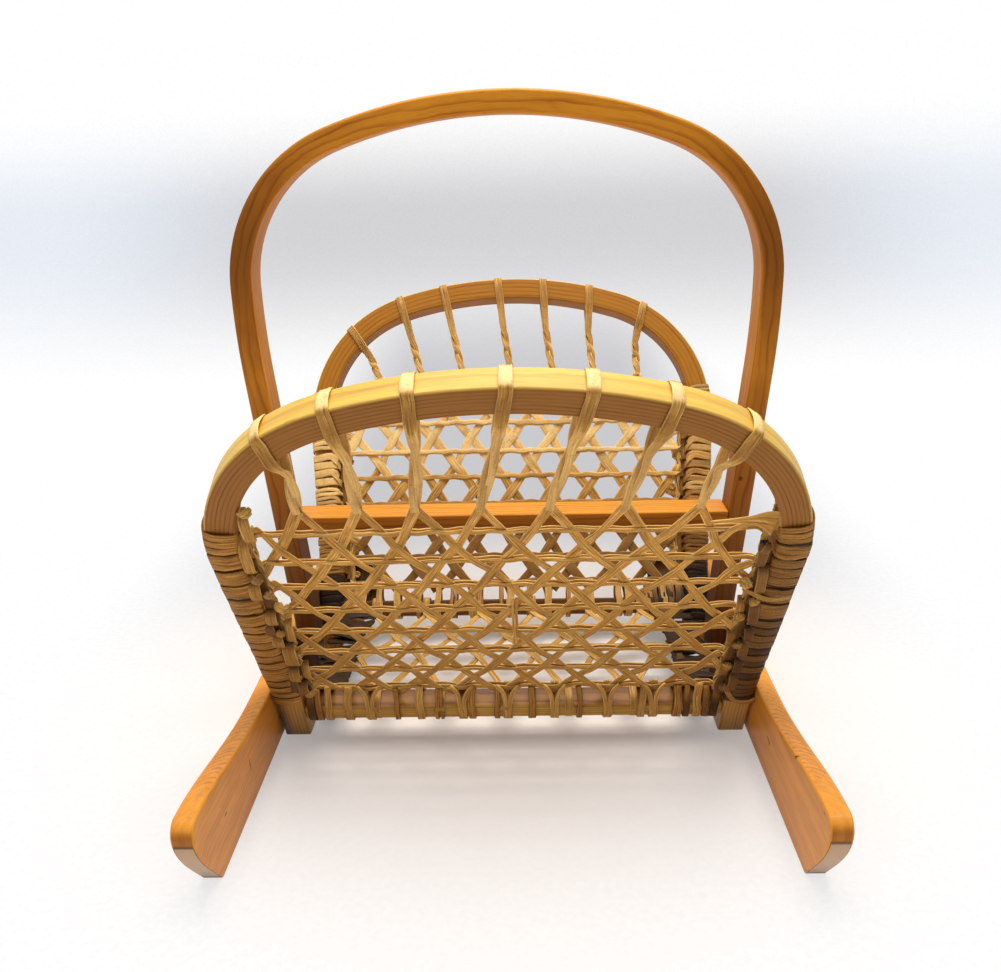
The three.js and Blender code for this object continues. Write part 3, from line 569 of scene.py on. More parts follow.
def add_hoops():
    handle = bent_hoop(HANDLE, 0, math.radians(62), 40, handle_painted_shade)
    upright = Matrix.Translation((0, -HANDLE.depth / 2, 0)) @ Matrix.Rotation(math.pi / 2, 4, "X")
    set_piece("handle_hoop_bent", handle, upright, "ash", "handle_hoop")
    for name, _, turn, side in PANELS:
        # the outer face is left pale, as a painted highlight on the lit top edge; the rest is brown down to
        # the feet in front, as painted shade on faces that look down, and amber on the feet and the whole
        # back frame, which faces the light
        ring_tilt = math.radians(12 if name == "front" else 50)
        shape = bent_hoop(PANEL, -FLOOR_OVERRUN, ring_tilt, 600 - 300 * side,
                          lambda run, inset: ((ramp(run, 310, 295) * 1.6 - 0.6 if name == "front" else -1)
                                              * ramp(inset, 0.3, PANEL.ease)))
        place = panel_place(turn)
        floor = place.inverted()
        level = (floor.to_3x3() @ Vector((0, 0, 1))).normalized()
        bmesh.ops.bisect_plane(shape, geom=all_of(shape), plane_co=floor.translation, plane_no=level,
                               clear_inner=True)
        set_piece(name + "_frame_bent", shape, place, "pale_ash", name + "_panel_frame")


def front_bar_painted_shade(p):
    """The bar's top is browner than its front, most of all at the back: painted shade under the net."""
    on_top = ramp(p.y, CROSSBAR.bottom + 10, CROSSBAR.bottom + CROSSBAR.width)
    return 0.45 + (1.15 * ramp(-p.z, 0, CROSSBAR.thickness) + 0.2) * on_top


def add_bars():
    # stretcher: its ends follow the inside of the handle
    shape = bmesh.new()
    corners = bmesh.ops.create_cube(shape, size=1)["verts"]
    low, high = (leg_x(HANDLE, HANDLE.stock, height) - 0.2
                 for height in (STRETCHER.top - STRETCHER.height, STRETCHER.top))
    for vert in corners:
        reach = high if vert.co.z > 0 else low
        height = STRETCHER.top - (0 if vert.co.z > 0 else STRETCHER.height)
        vert.co = Vector((math.copysign(reach, vert.co.x), vert.co.y * HANDLE.depth, height))
    round_off(shape, shape.edges[:], STRETCHER.ease)
    # the stretcher is dark brown but for its top, which is left light: painted shade and light
    lay_grain(shape, lambda p: ((p.x + 500, 0.6 * p.z + 0.8 * p.y, p.y),
                                1.6 - 1.5 * ramp(p.z, STRETCHER.top - 2, STRETCHER.top), 1.0))
    set_piece("handle_stretcher_bar", shape, Matrix.Identity(4), "ash", "handle_stretcher")

    for name, _, turn, _ in PANELS:
        shape = bmesh.new()
        bmesh.ops.create_cube(shape, size=1)
        bmesh.ops.scale(shape, vec=(2 * CROSSBAR.half, CROSSBAR.width, CROSSBAR.thickness), verts=shape.verts)
        round_off(shape, shape.edges[:], CROSSBAR.ease)
        move(shape, shape.verts, (0, CROSSBAR.bottom + CROSSBAR.width / 2, -NET_DEPTH))
        # the back bar is dark brown all over: painted shade inside the rack
        lay_grain(shape, lambda p: ((p.x + 90 * turn, p.y + 0.3 * p.z, p.z),
                                    1.9 if name == "back" else front_bar_painted_shade(p), 1.0))
        set_piece(name + "_crossbar_bar", shape, panel_place(turn), "pale_ash", name + "_crossbar")


def foot_outline():
    """The board's outline, drawn as one closed curve: flat sole, swept nose, small toe round and a low
    waist."""
    toe, sole, waist = FOOT.length / 2, FOOT.sole / 2, FOOT.waist_length / 2
    nose_run, top_run = toe - sole, toe - FOOT.toe_radius - waist
    round_pull = 0.5523 * FOOT.toe_radius  # handle length that draws a quarter circle
    knee = FOOT.toe - FOOT.toe_radius
    half = (  # point, handle before it and handle after it, going up the front toe
        ((sole, 0), (sole - 5, 0), (sole + 0.36 * nose_run, 0.3 * FOOT.nose)),
        ((toe, knee), (toe, 0.74 * FOOT.nose), (toe, knee + round_pull)),
        ((toe - FOOT.toe_radius, FOOT.toe), (toe - FOOT.toe_radius + round_pull, FOOT.toe),
         (toe - FOOT.toe_radius - 0.3 * top_run, FOOT.toe)),
        ((waist, FOOT.waist), (toe - FOOT.toe_radius - 0.6 * top_run, FOOT.waist),
         (waist - 5, FOOT.waist)),
    )
    flipped = [tuple((-x, y) for x, y in (point, after, before)) for point, before, after in reversed(half)]
    curve = bpy.data.curves.new("foot outline", "CURVE")
    curve.dimensions, curve.fill_mode, curve.resolution_u = "2D", "NONE", 14
    spline = curve.splines.new("BEZIER")
    spline.bezier_points.add(2 * len(half) - 1)
    spline.use_cyclic_u = True
    for knot, (point, before, after) in zip(spline.bezier_points, [*half, *flipped]):
        knot.handle_left_type = knot.handle_right_type = "FREE"
        knot.co, knot.handle_left, knot.handle_right = (*point, 0), (*before, 0), (*after, 0)
    drawn = bpy.data.objects.new("foot outline", curve)
    mesh = bpy.data.meshes.new_from_object(drawn)
    shape = bmesh.new()
    shape.from_mesh(mesh)
    bpy.data.objects.remove(drawn)
    bpy.data.curves.remove(curve)
    bpy.data.meshes.remove(mesh)
    return shape


def foot_ring(p, side):
    """How far out a point of a board lies among its rings: slanting over the top edge, round below it."""
    if abs(p.z) < 4.55 and p.y > 30:
        return 0.5 * p.x + side * 0.4 * p.z + 0.09 * p.z ** 2
    return math.hypot(p.y - 60, side * p.z + 34) * 1.1


def foot_tone_and_painted_reflection(p):
    """The toe is browner in front, and the sawn end below it grey: a painted reflection of the floor in the
    varnish, with its dark edge. The face is a little browner low down.
    """
    on_edge = ramp(abs(p.z), 4.9, 4.6)
    brown = 0.1 * ramp(p.y, 30, 12) + 0.75 * on_edge * ramp(abs(p.x), 227, 233) * ramp(p.y, 53, 48)
    return max(brown, 2.9 * ramp(abs(p.x), 203, 206) * ramp(p.y, 45, 41) * on_edge)


def foot_figure(p):
    """How strongly the rings show: a little on the faces, as curls on the slopes of the top edge, and not at
    all on the eased edges."""
    if abs(p.z) > 5.65:
        return 0.4
    curls = ramp(abs(p.x), 70, 110) * ramp(abs(p.x), 212, 196)
    return (0.15 + 0.7 * curls) * ramp(abs(p.z), 4.45, 4.15)


def add_screw(name, place, way, length):
    """A slotted screw: its head lies flush in the wood at a place, and its shank runs on inwards."""
    shape = bmesh.new()
    head = bmesh.ops.create_cone(shape, cap_ends=True, segments=28, radius1=SCREW.head, radius2=SCREW.head,
                                 depth=SCREW.head_depth)["verts"]
    move(shape, head, (0, 0, SCREW.proud - SCREW.head_depth / 2))
    round_off(shape, [edge for edge in shape.edges if all(vert.co.z > 0 for vert in edge.verts)],
              SCREW.ease, 2)
    for cut in (-SCREW.slot / 2, SCREW.slot / 2):
        bmesh.ops.bisect_plane(shape, geom=all_of(shape), plane_co=(cut, 0, 0), plane_no=(1, 0, 0))
    slot = [face for face in shape.faces if face.normal.z > 0.9 and abs(face.calc_center_median().x) < 0.4]
    sunk = bmesh.ops.extrude_face_region(shape, geom=slot)["geom"]
    bmesh.ops.delete(shape, geom=slot, context="FACES_ONLY")
    move(shape, verts_in(sunk), (0, 0, -SCREW.slot_depth))
    shank_length = length - 2.2
    shank = bmesh.ops.create_cone(shape, cap_ends=True, segments=16, radius1=SCREW.tip, radius2=SCREW.shank,
                                  depth=shank_length)["verts"]
    move(shape, shank, (0, 0, -SCREW.shank_start - shank_length / 2))
    turn = Matrix.Rotation(way * math.pi / 2, 4, "Y") @ Matrix.Rotation(random.uniform(0, 3), 4, "Z")
    set_piece(name + "_turned", shape, Matrix.Translation(place) @ turn, "steel", name)


def add_screws():
    """Through each board two screws into the panels and two into the handle, and one into the stretcher's
    end."""
    for hand, way in (("left", -1), ("right", 1)):
        for name, y, z in SCREW_PLACES:
            place = Vector((way * (FOOT.inner + FOOT.thickness), y, z))
            add_screw(f"{hand}_{name}", place, way, SCREW.length)
        height = STRETCHER.top - STRETCHER.height / 2
        place = Vector((way * leg_x(HANDLE, 0, height), 0, height))
        add_screw(f"{hand}_stretcher_screw", place, way, SCREW.stretcher_length)


def add_feet():
    for name, side, seed in (("left", -1, 0), ("right", 1, 700)):
        shape = foot_outline()
        bmesh.ops.remove_doubles(shape, verts=shape.verts, dist=0.01)
        bmesh.ops.edgeloop_fill(shape, edges=shape.edges)
        move(shape, shape.verts, (0, 0, -FOOT.thickness / 2))
        made = bmesh.ops.extrude_face_region(shape, geom=list(shape.faces))["geom"]
        move(shape, verts_in(made), (0, 0, FOOT.thickness))
        bmesh.ops.recalc_face_normals(shape, faces=shape.faces)
        rims = [edge for edge in shape.edges if edge.is_manifold and edge.calc_face_angle() > 1.2]
        round_off(shape, rims, FOOT.ease)
        # rows of points along its edge carry the edge's tones
        for cut in (-4.1, -2.2, 0, 2.2, 4.1):
            bmesh.ops.bisect_plane(shape, geom=all_of(shape), plane_co=(0, 0, cut), plane_no=(0, 0, 1))
        # sawn flat: wide rings up the face that crowd towards the sole, and short curls across the top edge
        lay_grain(shape, lambda p: ((p.x + seed, foot_ring(p, side), p.z), foot_tone_and_painted_reflection(p), foot_figure(p)))
        place = Matrix.Translation((side * (FOOT.inner + FOOT.thickness / 2), 0, 0)) @ Matrix.Rotation(
            math.pi / 2, 4, "Z") @ Matrix.Rotation(math.pi / 2, 4, "X")
        set_piece(name + "_foot_board", shape, place, "ash", name + "_foot", look="ash_board")


# Rawhide


def station(place, face=(0, 0, 1), width=1.0, backing=0.0):
    """One point of a strap's run: its place, the way its face looks, its share of the strap's width, and its
    tone: below 0 it is pale, as painted light where it hangs free or lies over a lit top, up to 1 wood shows
    through it, and up to 2 it goes nearly black."""
    return Vector((*place, *face, width, backing))


def smooth_run(points, step):
    """A smooth run through the points, with a point about every step."""
    spans = [max((Vector(b[:3]) - Vector(a[:3])).length, 0.01) for a, b in zip(points, points[1:])]
    legs = [(b - a) / span for a, b, span in zip(points, points[1:], spans)]
    slopes = [legs[0]]
    for i in range(1, len(legs)):
        slopes.append((legs[i - 1] * spans[i] + legs[i] * spans[i - 1]) / (spans[i - 1] + spans[i]))
    slopes.append(legs[-1])
    run = [points[0]]
    for i, span in enumerate(spans):
        count = max(1, round(span / step))
        for k in range(1, count + 1):
            t = k / count
            leave, arrive = span * (t ** 3 - 2 * t ** 2 + t), span * (t ** 3 - t ** 2)
            run.append(points[i] * (2 * t ** 3 - 3 * t ** 2 + 1) + slopes[i] * leave
                       + points[i + 1] * (3 * t ** 2 - 2 * t ** 3) + slopes[i + 1] * arrive)
    return run


def new_rawhide():
    shape = bmesh.new()
    shape.verts.layers.float_vector.new("lie")
    shape.verts.layers.float.new("backing")
    return shape


def power(value, exponent):
    return math.copysign(abs(value) ** exponent, value)


def strap(shape, points, width, thickness, dish=0.0, step=STRAP_STEP, seed=None):
    """Lays a strap of rawhide through stations: a grid wrapped into a flat tube whose edges are dished
    forward."""
    seed = random.random() if seed is None else seed
    run = smooth_run(points, step)
    lie = shape.verts.layers.float_vector["lie"]
    backing = shape.verts.layers.float["backing"]
    places = [Vector(point[:3]) for point in run]
    lengths = [0.0]
    for a, b in zip(places, places[1:]):
        lengths.append(lengths[-1] + (b - a).length)
    sides, faces = [], []
    for i, point in enumerate(run):
        ahead = (places[min(i + 1, len(run) - 1)] - places[max(i - 1, 0)]).normalized()
        side = ahead.cross(Vector(point[3:6])).normalized()
        sides.append(side)
        faces.append(side.cross(ahead).normalized())
    last = len(run) - 1
    for vert in bmesh.ops.create_grid(shape, x_segments=last, y_segments=STRAP_SIDES, size=0.5)["verts"]:
        i = round((vert.co.x + 0.5) * last)
        turn = (vert.co.y + 0.5) * 2 * math.pi
        across = power(math.cos(turn), 0.5)
        rise = power(math.sin(turn), 0.45)
        grow = 1 + 0.09 * noise.noise((lengths[i] * 0.09, seed * 5.3, 0.5))
        half = width * run[i][6] * grow / 2
        curl = dish * (across ** 2 - 0.35)
        vert.co = places[i] + sides[i] * (across * half) + faces[i] * (rise * thickness / 2 + curl)
        vert[lie] = (lengths[i] * MM, across, seed)
        vert[backing] = run[i][7]


def net_u(net, column, height):
    """Where a column of the net stands at a height: even below, drawn to the gathers of the loops at the
    top."""
    even = net.first + net.pitch * column
    level = net.rows[3]
    if height <= level:
        return even
    place = min(max(column / 2, 0), len(net.gathers) - 1)
    low = min(int(place), len(net.gathers) - 2)
    share = place - low
    gather = net.gathers[low] * (1 - share) + net.gathers[low + 1] * share
    drawn = gather - (net.first + net.pitch * 2 * place)
    return even + drawn * (height - level) / (net.rows[0] - level)


def net_edge(height):
    """Half the width of the net at a height, to the thong that its strands turn round."""
    return leg_x(PANEL, 25, min(height, 195))


def tilted(amount):
    """A face that looks forward, turned a little at random."""
    return Vector((random.uniform(-amount, amount), random.uniform(-amount, amount), 1)).normalized()


def net_tone(net, height):
    """How the net's strands are toned at a height: pale at the top, as painted light through the thin
    strands, and browner near the bar; the back net's brown lower part is painted shade inside the rack.
    """
    low, high = net.tones
    return low + (high - low) * ramp(height, *net.fades)


def slanting_strand(shape, net, start, way):
    """One slanting strand of the net, from a loop's gather or the edge, down to the crossbar or the other
    edge. The two families pass in front of each other and of the rails by turns, row by row."""
    rows = net.rows
    places = []
    for i, height in enumerate(rows):
        in_front = (way < 0) == (i % 2 == 0)
        u = net_u(net, start + way * i, height)
        places.append((u, height, IN_FRONT if in_front else BEHIND))
        if i + 1 < len(rows):
            rail = net.rails[i]
            share = (height - rail) / (height - rows[i + 1])
            below = net_u(net, start + way * (i + 1), rows[i + 1])
            places.append((u + (below - u) * share, rail, OVER_RAIL if in_front else BEHIND))
    hangs = 0 <= start <= 2 * (len(net.gathers) - 1)
    kept = [k for k, (u, height, layer) in enumerate(places)
            if abs(u) < net_edge(height) and (hangs or height < net.rails[0] + 1)]
    if len(kept) < 2:
        return
    stations = []
    first, last = kept[0], kept[-1]
    for k in range(first, last + 1):
        u, height, layer = places[k]
        spread = random.uniform(1.0, 1.16) if k % 2 == 0 else random.uniform(0.88, 0.98)
        stations.append(station((u + random.uniform(-0.4, 0.4), height + random.uniform(-0.35, 0.35),
                                 layer - NET_DEPTH), tilted(0.16), spread, net_tone(net, height)))
    for end, beyond, way_on in ((last, last + 1, -1), (first, first - 1, 1)):
        if not 0 <= beyond < len(places):
            continue
        # round the thong at the edge
        u, height, layer = places[end]
        side = math.copysign(1, places[beyond][0])
        edge = side * net_edge(height + 5 * way_on)
        turned = [station((edge + side * 1.2, height + 5 * way_on, -6.2 - 1.4 * way_on),
                          (-0.2 * way_on * side, 0, 1), 0.9),
                  station((edge + side * 3.4, height + 9 * way_on, -5.2), (side, 0, 0.2), 0.8)]
        stations = [*reversed(turned), *stations] if way_on > 0 else [*stations, *turned]
    width = (net.wide if way < 0 else net.narrow) * random.uniform(0.9, 1.08)
    strap(shape, stations, width, 0.72, dish=0.12)


def rail_strands(shape, net, row):
    """A rail of the net: two thin strands, one in front of the strands that slant down to the right and one
    behind them, which wander over each other."""
    height = net.rails[row]
    lowest = row == len(net.rails) - 1
    edge = net_edge(height)
    count = 2 * round(2 * edge / net.pitch)
    for strand, layer in ((-1, IN_FRONT), (1, -OVER_RAIL)):
        stations = []
        for i in range(count + 1):
            u = -edge + 2 * edge * i / count
            part = 0.2 + 0.9 * noise.noise((u * 0.04, height, strand * 3.0))
            slope = 0.8 * noise.noise((u * 0.018, height * 1.7, 9.0))
            scallop = 0.45 * math.cos(2 * math.pi * (u - net.first) / net.pitch)
            if lowest:
                scallop -= 2.5 * sum(math.exp(-((u - tie) / 7) ** 2) for tie, split in BAR_TIES if split)
            place = (u, height + strand * part + slope + scallop, layer - NET_DEPTH)
            stations.append(station(place, tilted(0.12), random.uniform(0.9, 1.1), net_tone(net, height)))
        hooks = [station((side * (edge + 4.2), height + strand * 2.4, -5.6), (side, 0, 0.6), 0.8)
                 for side in (-1, 1)]
        strap(shape, [hooks[0], *stations, hooks[1]], net.rail * (1.2 if lowest else 1), 0.75, dish=0.08)


def loose_strand(shape, u, top, bottom):
    """A thin spare end, doubled, that hangs down behind the rails."""
    for strand in (-1, 1):
        stations = []
        for y in range(top, bottom, -7):
            sway = strand * 0.9 + 0.7 * noise.noise((y * 0.1, strand, 2.0))
            stations.append(station((u + sway, y, 1.2 - NET_DEPTH), tilted(0.1)))
        strap(shape, stations, 1.6, 0.9)


def bar_tie(shape, x, width, rail, split, backing):
    """A strap from the lowest rail down in front of the crossbar, under it and up behind. A split one comes
    down as two narrow arms from the rail."""
    middle = CROSSBAR.bottom + CROSSBAR.width / 2
    seed = random.random()
    stops = round_corners(CROSSBAR.width / 2, CROSSBAR.thickness / 2, 0.75)
    order = stops[2::-1] + stops[:2:-1]
    round_bar = [station((x + 0.25 * math.sin(way.x * 2 + seed * 6), middle + stop.x, stop.y - NET_DEPTH),
                         (0, way.x, way.y), 1, backing) for stop, way in order[1:-1]]
    arms = (-1, 1) if split else (0,)
    for arm in arms:
        front = [station((x + arm * 7, rail + 1.0, 1.3 - NET_DEPTH), (0, 0, 1), 1),
                 station((x + arm * 3.6, rail - 3.2, 2.6 - NET_DEPTH), (0, 0.2, 1), 1)] if arm else [
                 station((x + random.uniform(-1, 1), rail + 1.2, 1.3 - NET_DEPTH), (0, 0, 1), 0.9)]
        back = station((x + arm * 1.3, rail + 1.2, -1.2 - NET_DEPTH), (0, 0, -1), 0.9)
        rounds = [point + Vector((arm * 1.3, 0, 0, 0, 0, 0, 0, 0)) for point in round_bar]
        strap(shape, [*front, *rounds, back], width * (0.55 if arm else 1), 1.25, dish=0.15,
              seed=seed + 0.1 * arm)


def add_nets():
    for name, net, turn, side in PANELS:
        shape = new_rawhide()
        for start in range(-16, 30, 2):
            for way in (-1, 1):
                slanting_strand(shape, net, start, way)
        for row in range(len(net.rails)):
            rail_strands(shape, net, row)
        loose_strand(shape, 3, 128, 84)
        for x, split in BAR_TIES:
            bar_tie(shape, side * x, random.uniform(4.4, 5.2), net.rails[-1], split, 0.3)
        set_piece(name + "_net", shape, panel_place(turn), "rawhide", name + "_lacing")


def arch_loop(shape, net, i, slim):
    """A strap over the arch. Both its ends run straight over the arch's faces to one point below it, and from
    there they are twisted together down to the gather."""
    arch_x = net.arch[i]
    gather = Vector((net.gathers[i], net.rows[0] - 1, 0))
    stock, depth, ease = PANEL.stock, PANEL.depth, PANEL.ease
    lift = 0.7
    outer, out = arch_point(PANEL, arch_x, 0)
    top = outer - out * ease
    meet = gather + (arch_point(PANEL, arch_x, stock)[0] - gather) * 0.62
    leaves = 0.0
    while hoop_run(PANEL, abs(top.lerp(meet, leaves).x), top.lerp(meet, leaves).y, 0)[1] < stock:
        leaves += 0.02
    ends = []
    for way in (1, -1):
        face = Vector((0, 0, way))
        lies = lift if way > 0 else -depth - lift
        twist = way * (1.2 if slim else 1.45)
        end = []
        for share in (0, leaves * 0.5, leaves):
            end.append(station(top.lerp(meet, share) + Vector((0, 0, lies)), face, 1, 0.85 if share else 0.4))
        for share in (0.4, 0.75):
            slope = share * share * (3 - 2 * share)
            z = lies + (twist - NET_DEPTH - lies) * slope
            at = top.lerp(meet, leaves + (1 - leaves) * share)
            end.append(station(at + Vector((0, 0, z)), face + Vector((0, -0.35, 0)), 0.9, -0.3))
        count = 5 if not slim else 13
        for k in range(count + 1):
            turn = (1.0 if not slim else 3.0) * math.pi * k / count
            at = meet.lerp(gather, k / count)
            swing = Vector((math.sin(turn), 0, math.cos(turn))) * twist
            if slim:
                face = Vector((0.9 * math.sin(turn), 0, 1)).normalized() * way
            else:
                face = Vector((0.35 * math.sin(turn), 0, 1)).normalized() * way
            end.append(station(at + Vector((0, 0, -NET_DEPTH)) + swing, face, 0.78 if slim else 0.68,
                               0.5 * (1 - k / count) - 0.4 if slim else -0.45))
        ends.append(end)
    front, back = Vector((0, 0, 1)), Vector((0, 0, -1))
    # over the arch's top it is pale: painted light on the lit top edge
    over = [station(outer + Vector((0, 0, lift * 0.45)), (front + out).normalized(), 1, 0.5),
            station(outer + out * lift - Vector((0, 0, ease)), out, 1, -0.5),
            station(outer + out * lift + Vector((0, 0, ease - depth)), out, 1, -0.5),
            station(outer + Vector((0, 0, -depth - lift * 0.45)), (back + out).normalized(), 1, 0.5)]
    strap(shape, [*reversed(ends[0]), *over, *ends[1]], 6.0 if slim else 6.6, 1.1, dish=0.2)


def add_loops():
    for name, net, turn, _ in PANELS:
        for i in range(len(net.arch)):
            shape = new_rawhide()
            arch_loop(shape, net, i, slim=name == "back")
            set_piece(f"{name}_loop_{i + 1}", shape, panel_place(turn), "rawhide",
                      f"{name}_arch_loop_{i + 1}")


def round_corners(half_width, half_depth, lift):
    """Stops round a bar's section: three on each rounded corner, with the way out of the bar at each."""
    radius = 1.3
    stops = []
    for quarter in range(4):
        towards = math.pi / 2 * quarter + math.pi / 4
        corner = Vector((math.copysign(half_width - radius, math.sin(towards)),
                         math.copysign(half_depth - radius, math.cos(towards))))
        for part in range(3):
            turn = math.pi / 2 * quarter + math.pi / 4 * part
            way = Vector((math.sin(turn), math.cos(turn)))
            stops.append((corner + way * (radius + lift), way))
    return stops


def leg_frame(side, height):
    """The middle of a panel's leg at a height, the way along it and the way out of its outer face."""
    x = leg_x(PANEL, PANEL.stock / 2, height)
    ahead = leg_x(PANEL, PANEL.stock / 2, height + 0.5)
    along = Vector((side * (ahead - x), 0.5, 0)).normalized()
    return Vector((side * x, height, -NET_DEPTH)), along, Vector((side * along.y, -side * along.x, 0))


def bind_leg(shape, side, top, bottom, turns, back, dark=None):
    """Winds a strap round a leg from a height down to another. A turn lies level over the front and the
    outside and steps down across the back."""
    pitch = (top - bottom) / turns
    proud = random.uniform(0, 0.55) if dark is None else 0.2
    stops = round_corners(PANEL.stock / 2, PANEL.depth / 2, 0.54 + proud)
    slant = random.uniform(-0.5, 0.5)
    seed = random.random()
    if back:
        browning = (random.uniform(-0.9, -0.4) - 0.35 * side + 1.2 * ramp(top, 120, 80)
                    + 1.6 * ramp(top, 62, 46))
    elif side > 0:
        browning = 0.25 + 0.4 * ramp(top, 186, 180) + 0.75 * ramp(top, 170, 95) + random.uniform(-0.25, 0.25)
    else:
        browning = 0.4 * ramp(top, 190, 130) - 0.45 * ramp(top, 60, 48) + random.uniform(-0.15, 0.2)
    if dark is not None:
        browning = dark
    stations = []
    for k in range(12 * turns + 1):
        stop, way = stops[(k + 9) % 12]
        share = k % 12 / 12
        step = k // 12 + ramp(share, 0.72, 1.0)
        height = top - pitch * (0.5 + min(step, turns - 1)) + slant * way.x
        middle, along, outward = leg_frame(side, height)
        face = outward * way.x + Vector((0, 0, way.y))
        wobble = 0.3 * noise.noise((k * 0.21, seed * 40, side))
        stations.append(station(middle + outward * stop.x + Vector((0, 0, stop.y)) + along * wobble, face,
                                random.uniform(0.96, 1.04), browning))
    strap(shape, stations, pitch * 0.99, 1.0, step=2.6, seed=seed)


def add_leg_bindings():
    for name, _, turn, _ in PANELS:
        for hand, side, windings in (("left", -1, LEFT_WINDINGS), ("right", 1, RIGHT_WINDINGS)):
            shape = new_rawhide()
            for top, bottom, turns in windings:
                bind_leg(shape, side, top, bottom, turns * 2 if name == "back" else turns, name == "back")
                # a nearly black strap under some of them: painted shade in the gap between turns
                if random.random() < (0.8 if side > 0 and top < 150 else 0.15) * (name == "front"):
                    gap = random.uniform(0.6, 1.3)
                    bind_leg(shape, side, bottom + gap, bottom - gap, 1, False, 1.9)
            if name == "back":
                bind_leg(shape, side, 37, 5, 6, True, NEARLY_BLACK)
            set_piece(f"{name}_{hand}_leg_binding", shape, panel_place(turn), "rawhide_wrap",
                      f"{name}_{hand}_leg_wrap")


def knot(shape, centre, size, tone=0.4):
    """A small knot: short bands that cross over each other as on a ball."""
    seed = random.random()
    for k in range(3):
        turn = k * 1.05 + seed * 3 + random.uniform(-0.25, 0.25)
        along = Vector((math.sin(turn), math.cos(turn), 0))
        aside = Vector((along.y, -along.x, 0)) * size * random.uniform(-0.12, 0.12)
        radius = size * (0.34 + 0.035 * k)
        stations = []
        for bend in (-1.5, -1.1, -0.5, 0.2, 0.9, 1.5):
            out = along * math.sin(bend) + Vector((0, 0, math.cos(bend) * 0.8))
            stations.append(station(centre + aside + out * radius, out.normalized(), 1.1 - 0.24 * bend * bend,
                                    tone + 0.3 * abs(bend) - 0.2))
        strap(shape, stations, size * random.uniform(0.42, 0.55), 1.1, step=1.0)


def chain_strap(shape, x, top, bottom, width, z, tone, lean=0.0):
    """An upright strap with round shoulders: it comes forward at its top and goes back under the next one."""
    middle = (top + bottom) / 2
    # the shoulders are darker, as painted shade where the strap goes back under the next one
    run = ((top, -3.4, (0, 1, 0.2), 0.7, 0.8), (top - 0.8, -1.0, (0, 0.7, 0.7), 0.4, 0.95),
           (top - 3.2, 0.2, (0, 0.2, 1), 0.1, 1), (middle, 0.7, (0, 0, 1), 0, 1.04),
           (bottom + 3.2, 0.2, (0, -0.2, 1), 0.1, 1), (bottom + 0.8, -1.0, (0, -0.7, 0.7), 0.4, 0.95),
           (bottom, -3.4, (0, -1, 0.2), 0.7, 0.8))
    strap(shape, [station((x + lean * (y - middle), y, z + depth), face, swell * random.uniform(0.97, 1.03),
                          tone + darker) for y, depth, face, darker, swell in run],
          width, 1.2, step=1.2)


def front_chain(shape, side):
    """The straps and knots of a front leg, in their places."""
    chain, knots = (LEFT_CHAIN, LEFT_KNOTS) if side < 0 else (RIGHT_CHAIN, RIGHT_KNOTS)
    for x, top, bottom, width, z, tone in chain:
        chain_strap(shape, side * x, top, bottom, width, z, tone + 0.6, random.uniform(-0.06, 0.06))
    for x, height, size, z, tone in knots:
        knot(shape, Vector((side * x, height, z)), size, tone + 0.3)
    if side < 0:
        return
    # from the top rail a strap spreads to the leg, and further down two more reach over it
    fan = ((104, 187.3, -6.65, 0, 1, 0.06, 0), (119, 188.6, -6.15, 0, 1, 0.22, 0.1),
           (126, 190, -4.75, 0, 1, 0.42, 0.2), (131.5, 191, -2.75, -0.3, 1, 0.8, 0.4),
           (135.5, 191, -1.15, -0.6, 1, 1.1, 0.6), (138, 190.5, -4.75, -1, 0.3, 1.2, 0.8))
    spread = [station((x, y, z), (aside, 0, ahead), share, tone)
              for x, y, z, aside, ahead, share, tone in fan]
    strap(shape, spread, 19, 0.9, dish=0.1, seed=0.35)
    for reach in (((127, 137, -3), (132, 138.5, 1.8), (138, 135.5, 2.4), (145, 134.5, 2.1), (152, 135, 0.8)),
                  ((128, 50, -1), (131, 43, 1.8), (136, 36.5, 2.4), (143, 35.5, 2.4), (149, 37, 1))):
        strap(shape, [station(place, (0, 0, 1), 1, 0.8) for place in reach], 3.2, 1.1)


def back_chain(shape, side):
    """The straps and knots of a back leg, seen only from far off: their places are random."""
    height = 197.0
    while height > 44:
        length = min(random.uniform(12, 19), height - 30)
        x = leg_x(PANEL, random.uniform(17.5, 20.5), min(height - length / 2, 195))
        chain_strap(shape, side * x, height, height - length, random.uniform(4.8, 6.6),
                    random.choice((0.6, -2.5)), 0.2 + 0.8 * ramp(height, 195, 120),
                    random.uniform(-0.15, 0.15))
        if height < 72:
            # the lower corners are laced over twice, nearly black
            for column in (7, 14, 21):
                chain_strap(shape, side * (x - column), height - 4, height - 4 - length, 7.5, -3,
                            random.uniform(1.4, 1.9), random.uniform(-0.2, 0.2))
        if random.random() < 0.8:
            place = Vector((side * (x - random.uniform(4, 8)), height - length * random.uniform(0.4, 1),
                            random.uniform(-8, -4)))
            knot(shape, place, random.uniform(4.5, 7), random.uniform(0, 0.9))
        height -= length * random.uniform(0.92, 1.05)


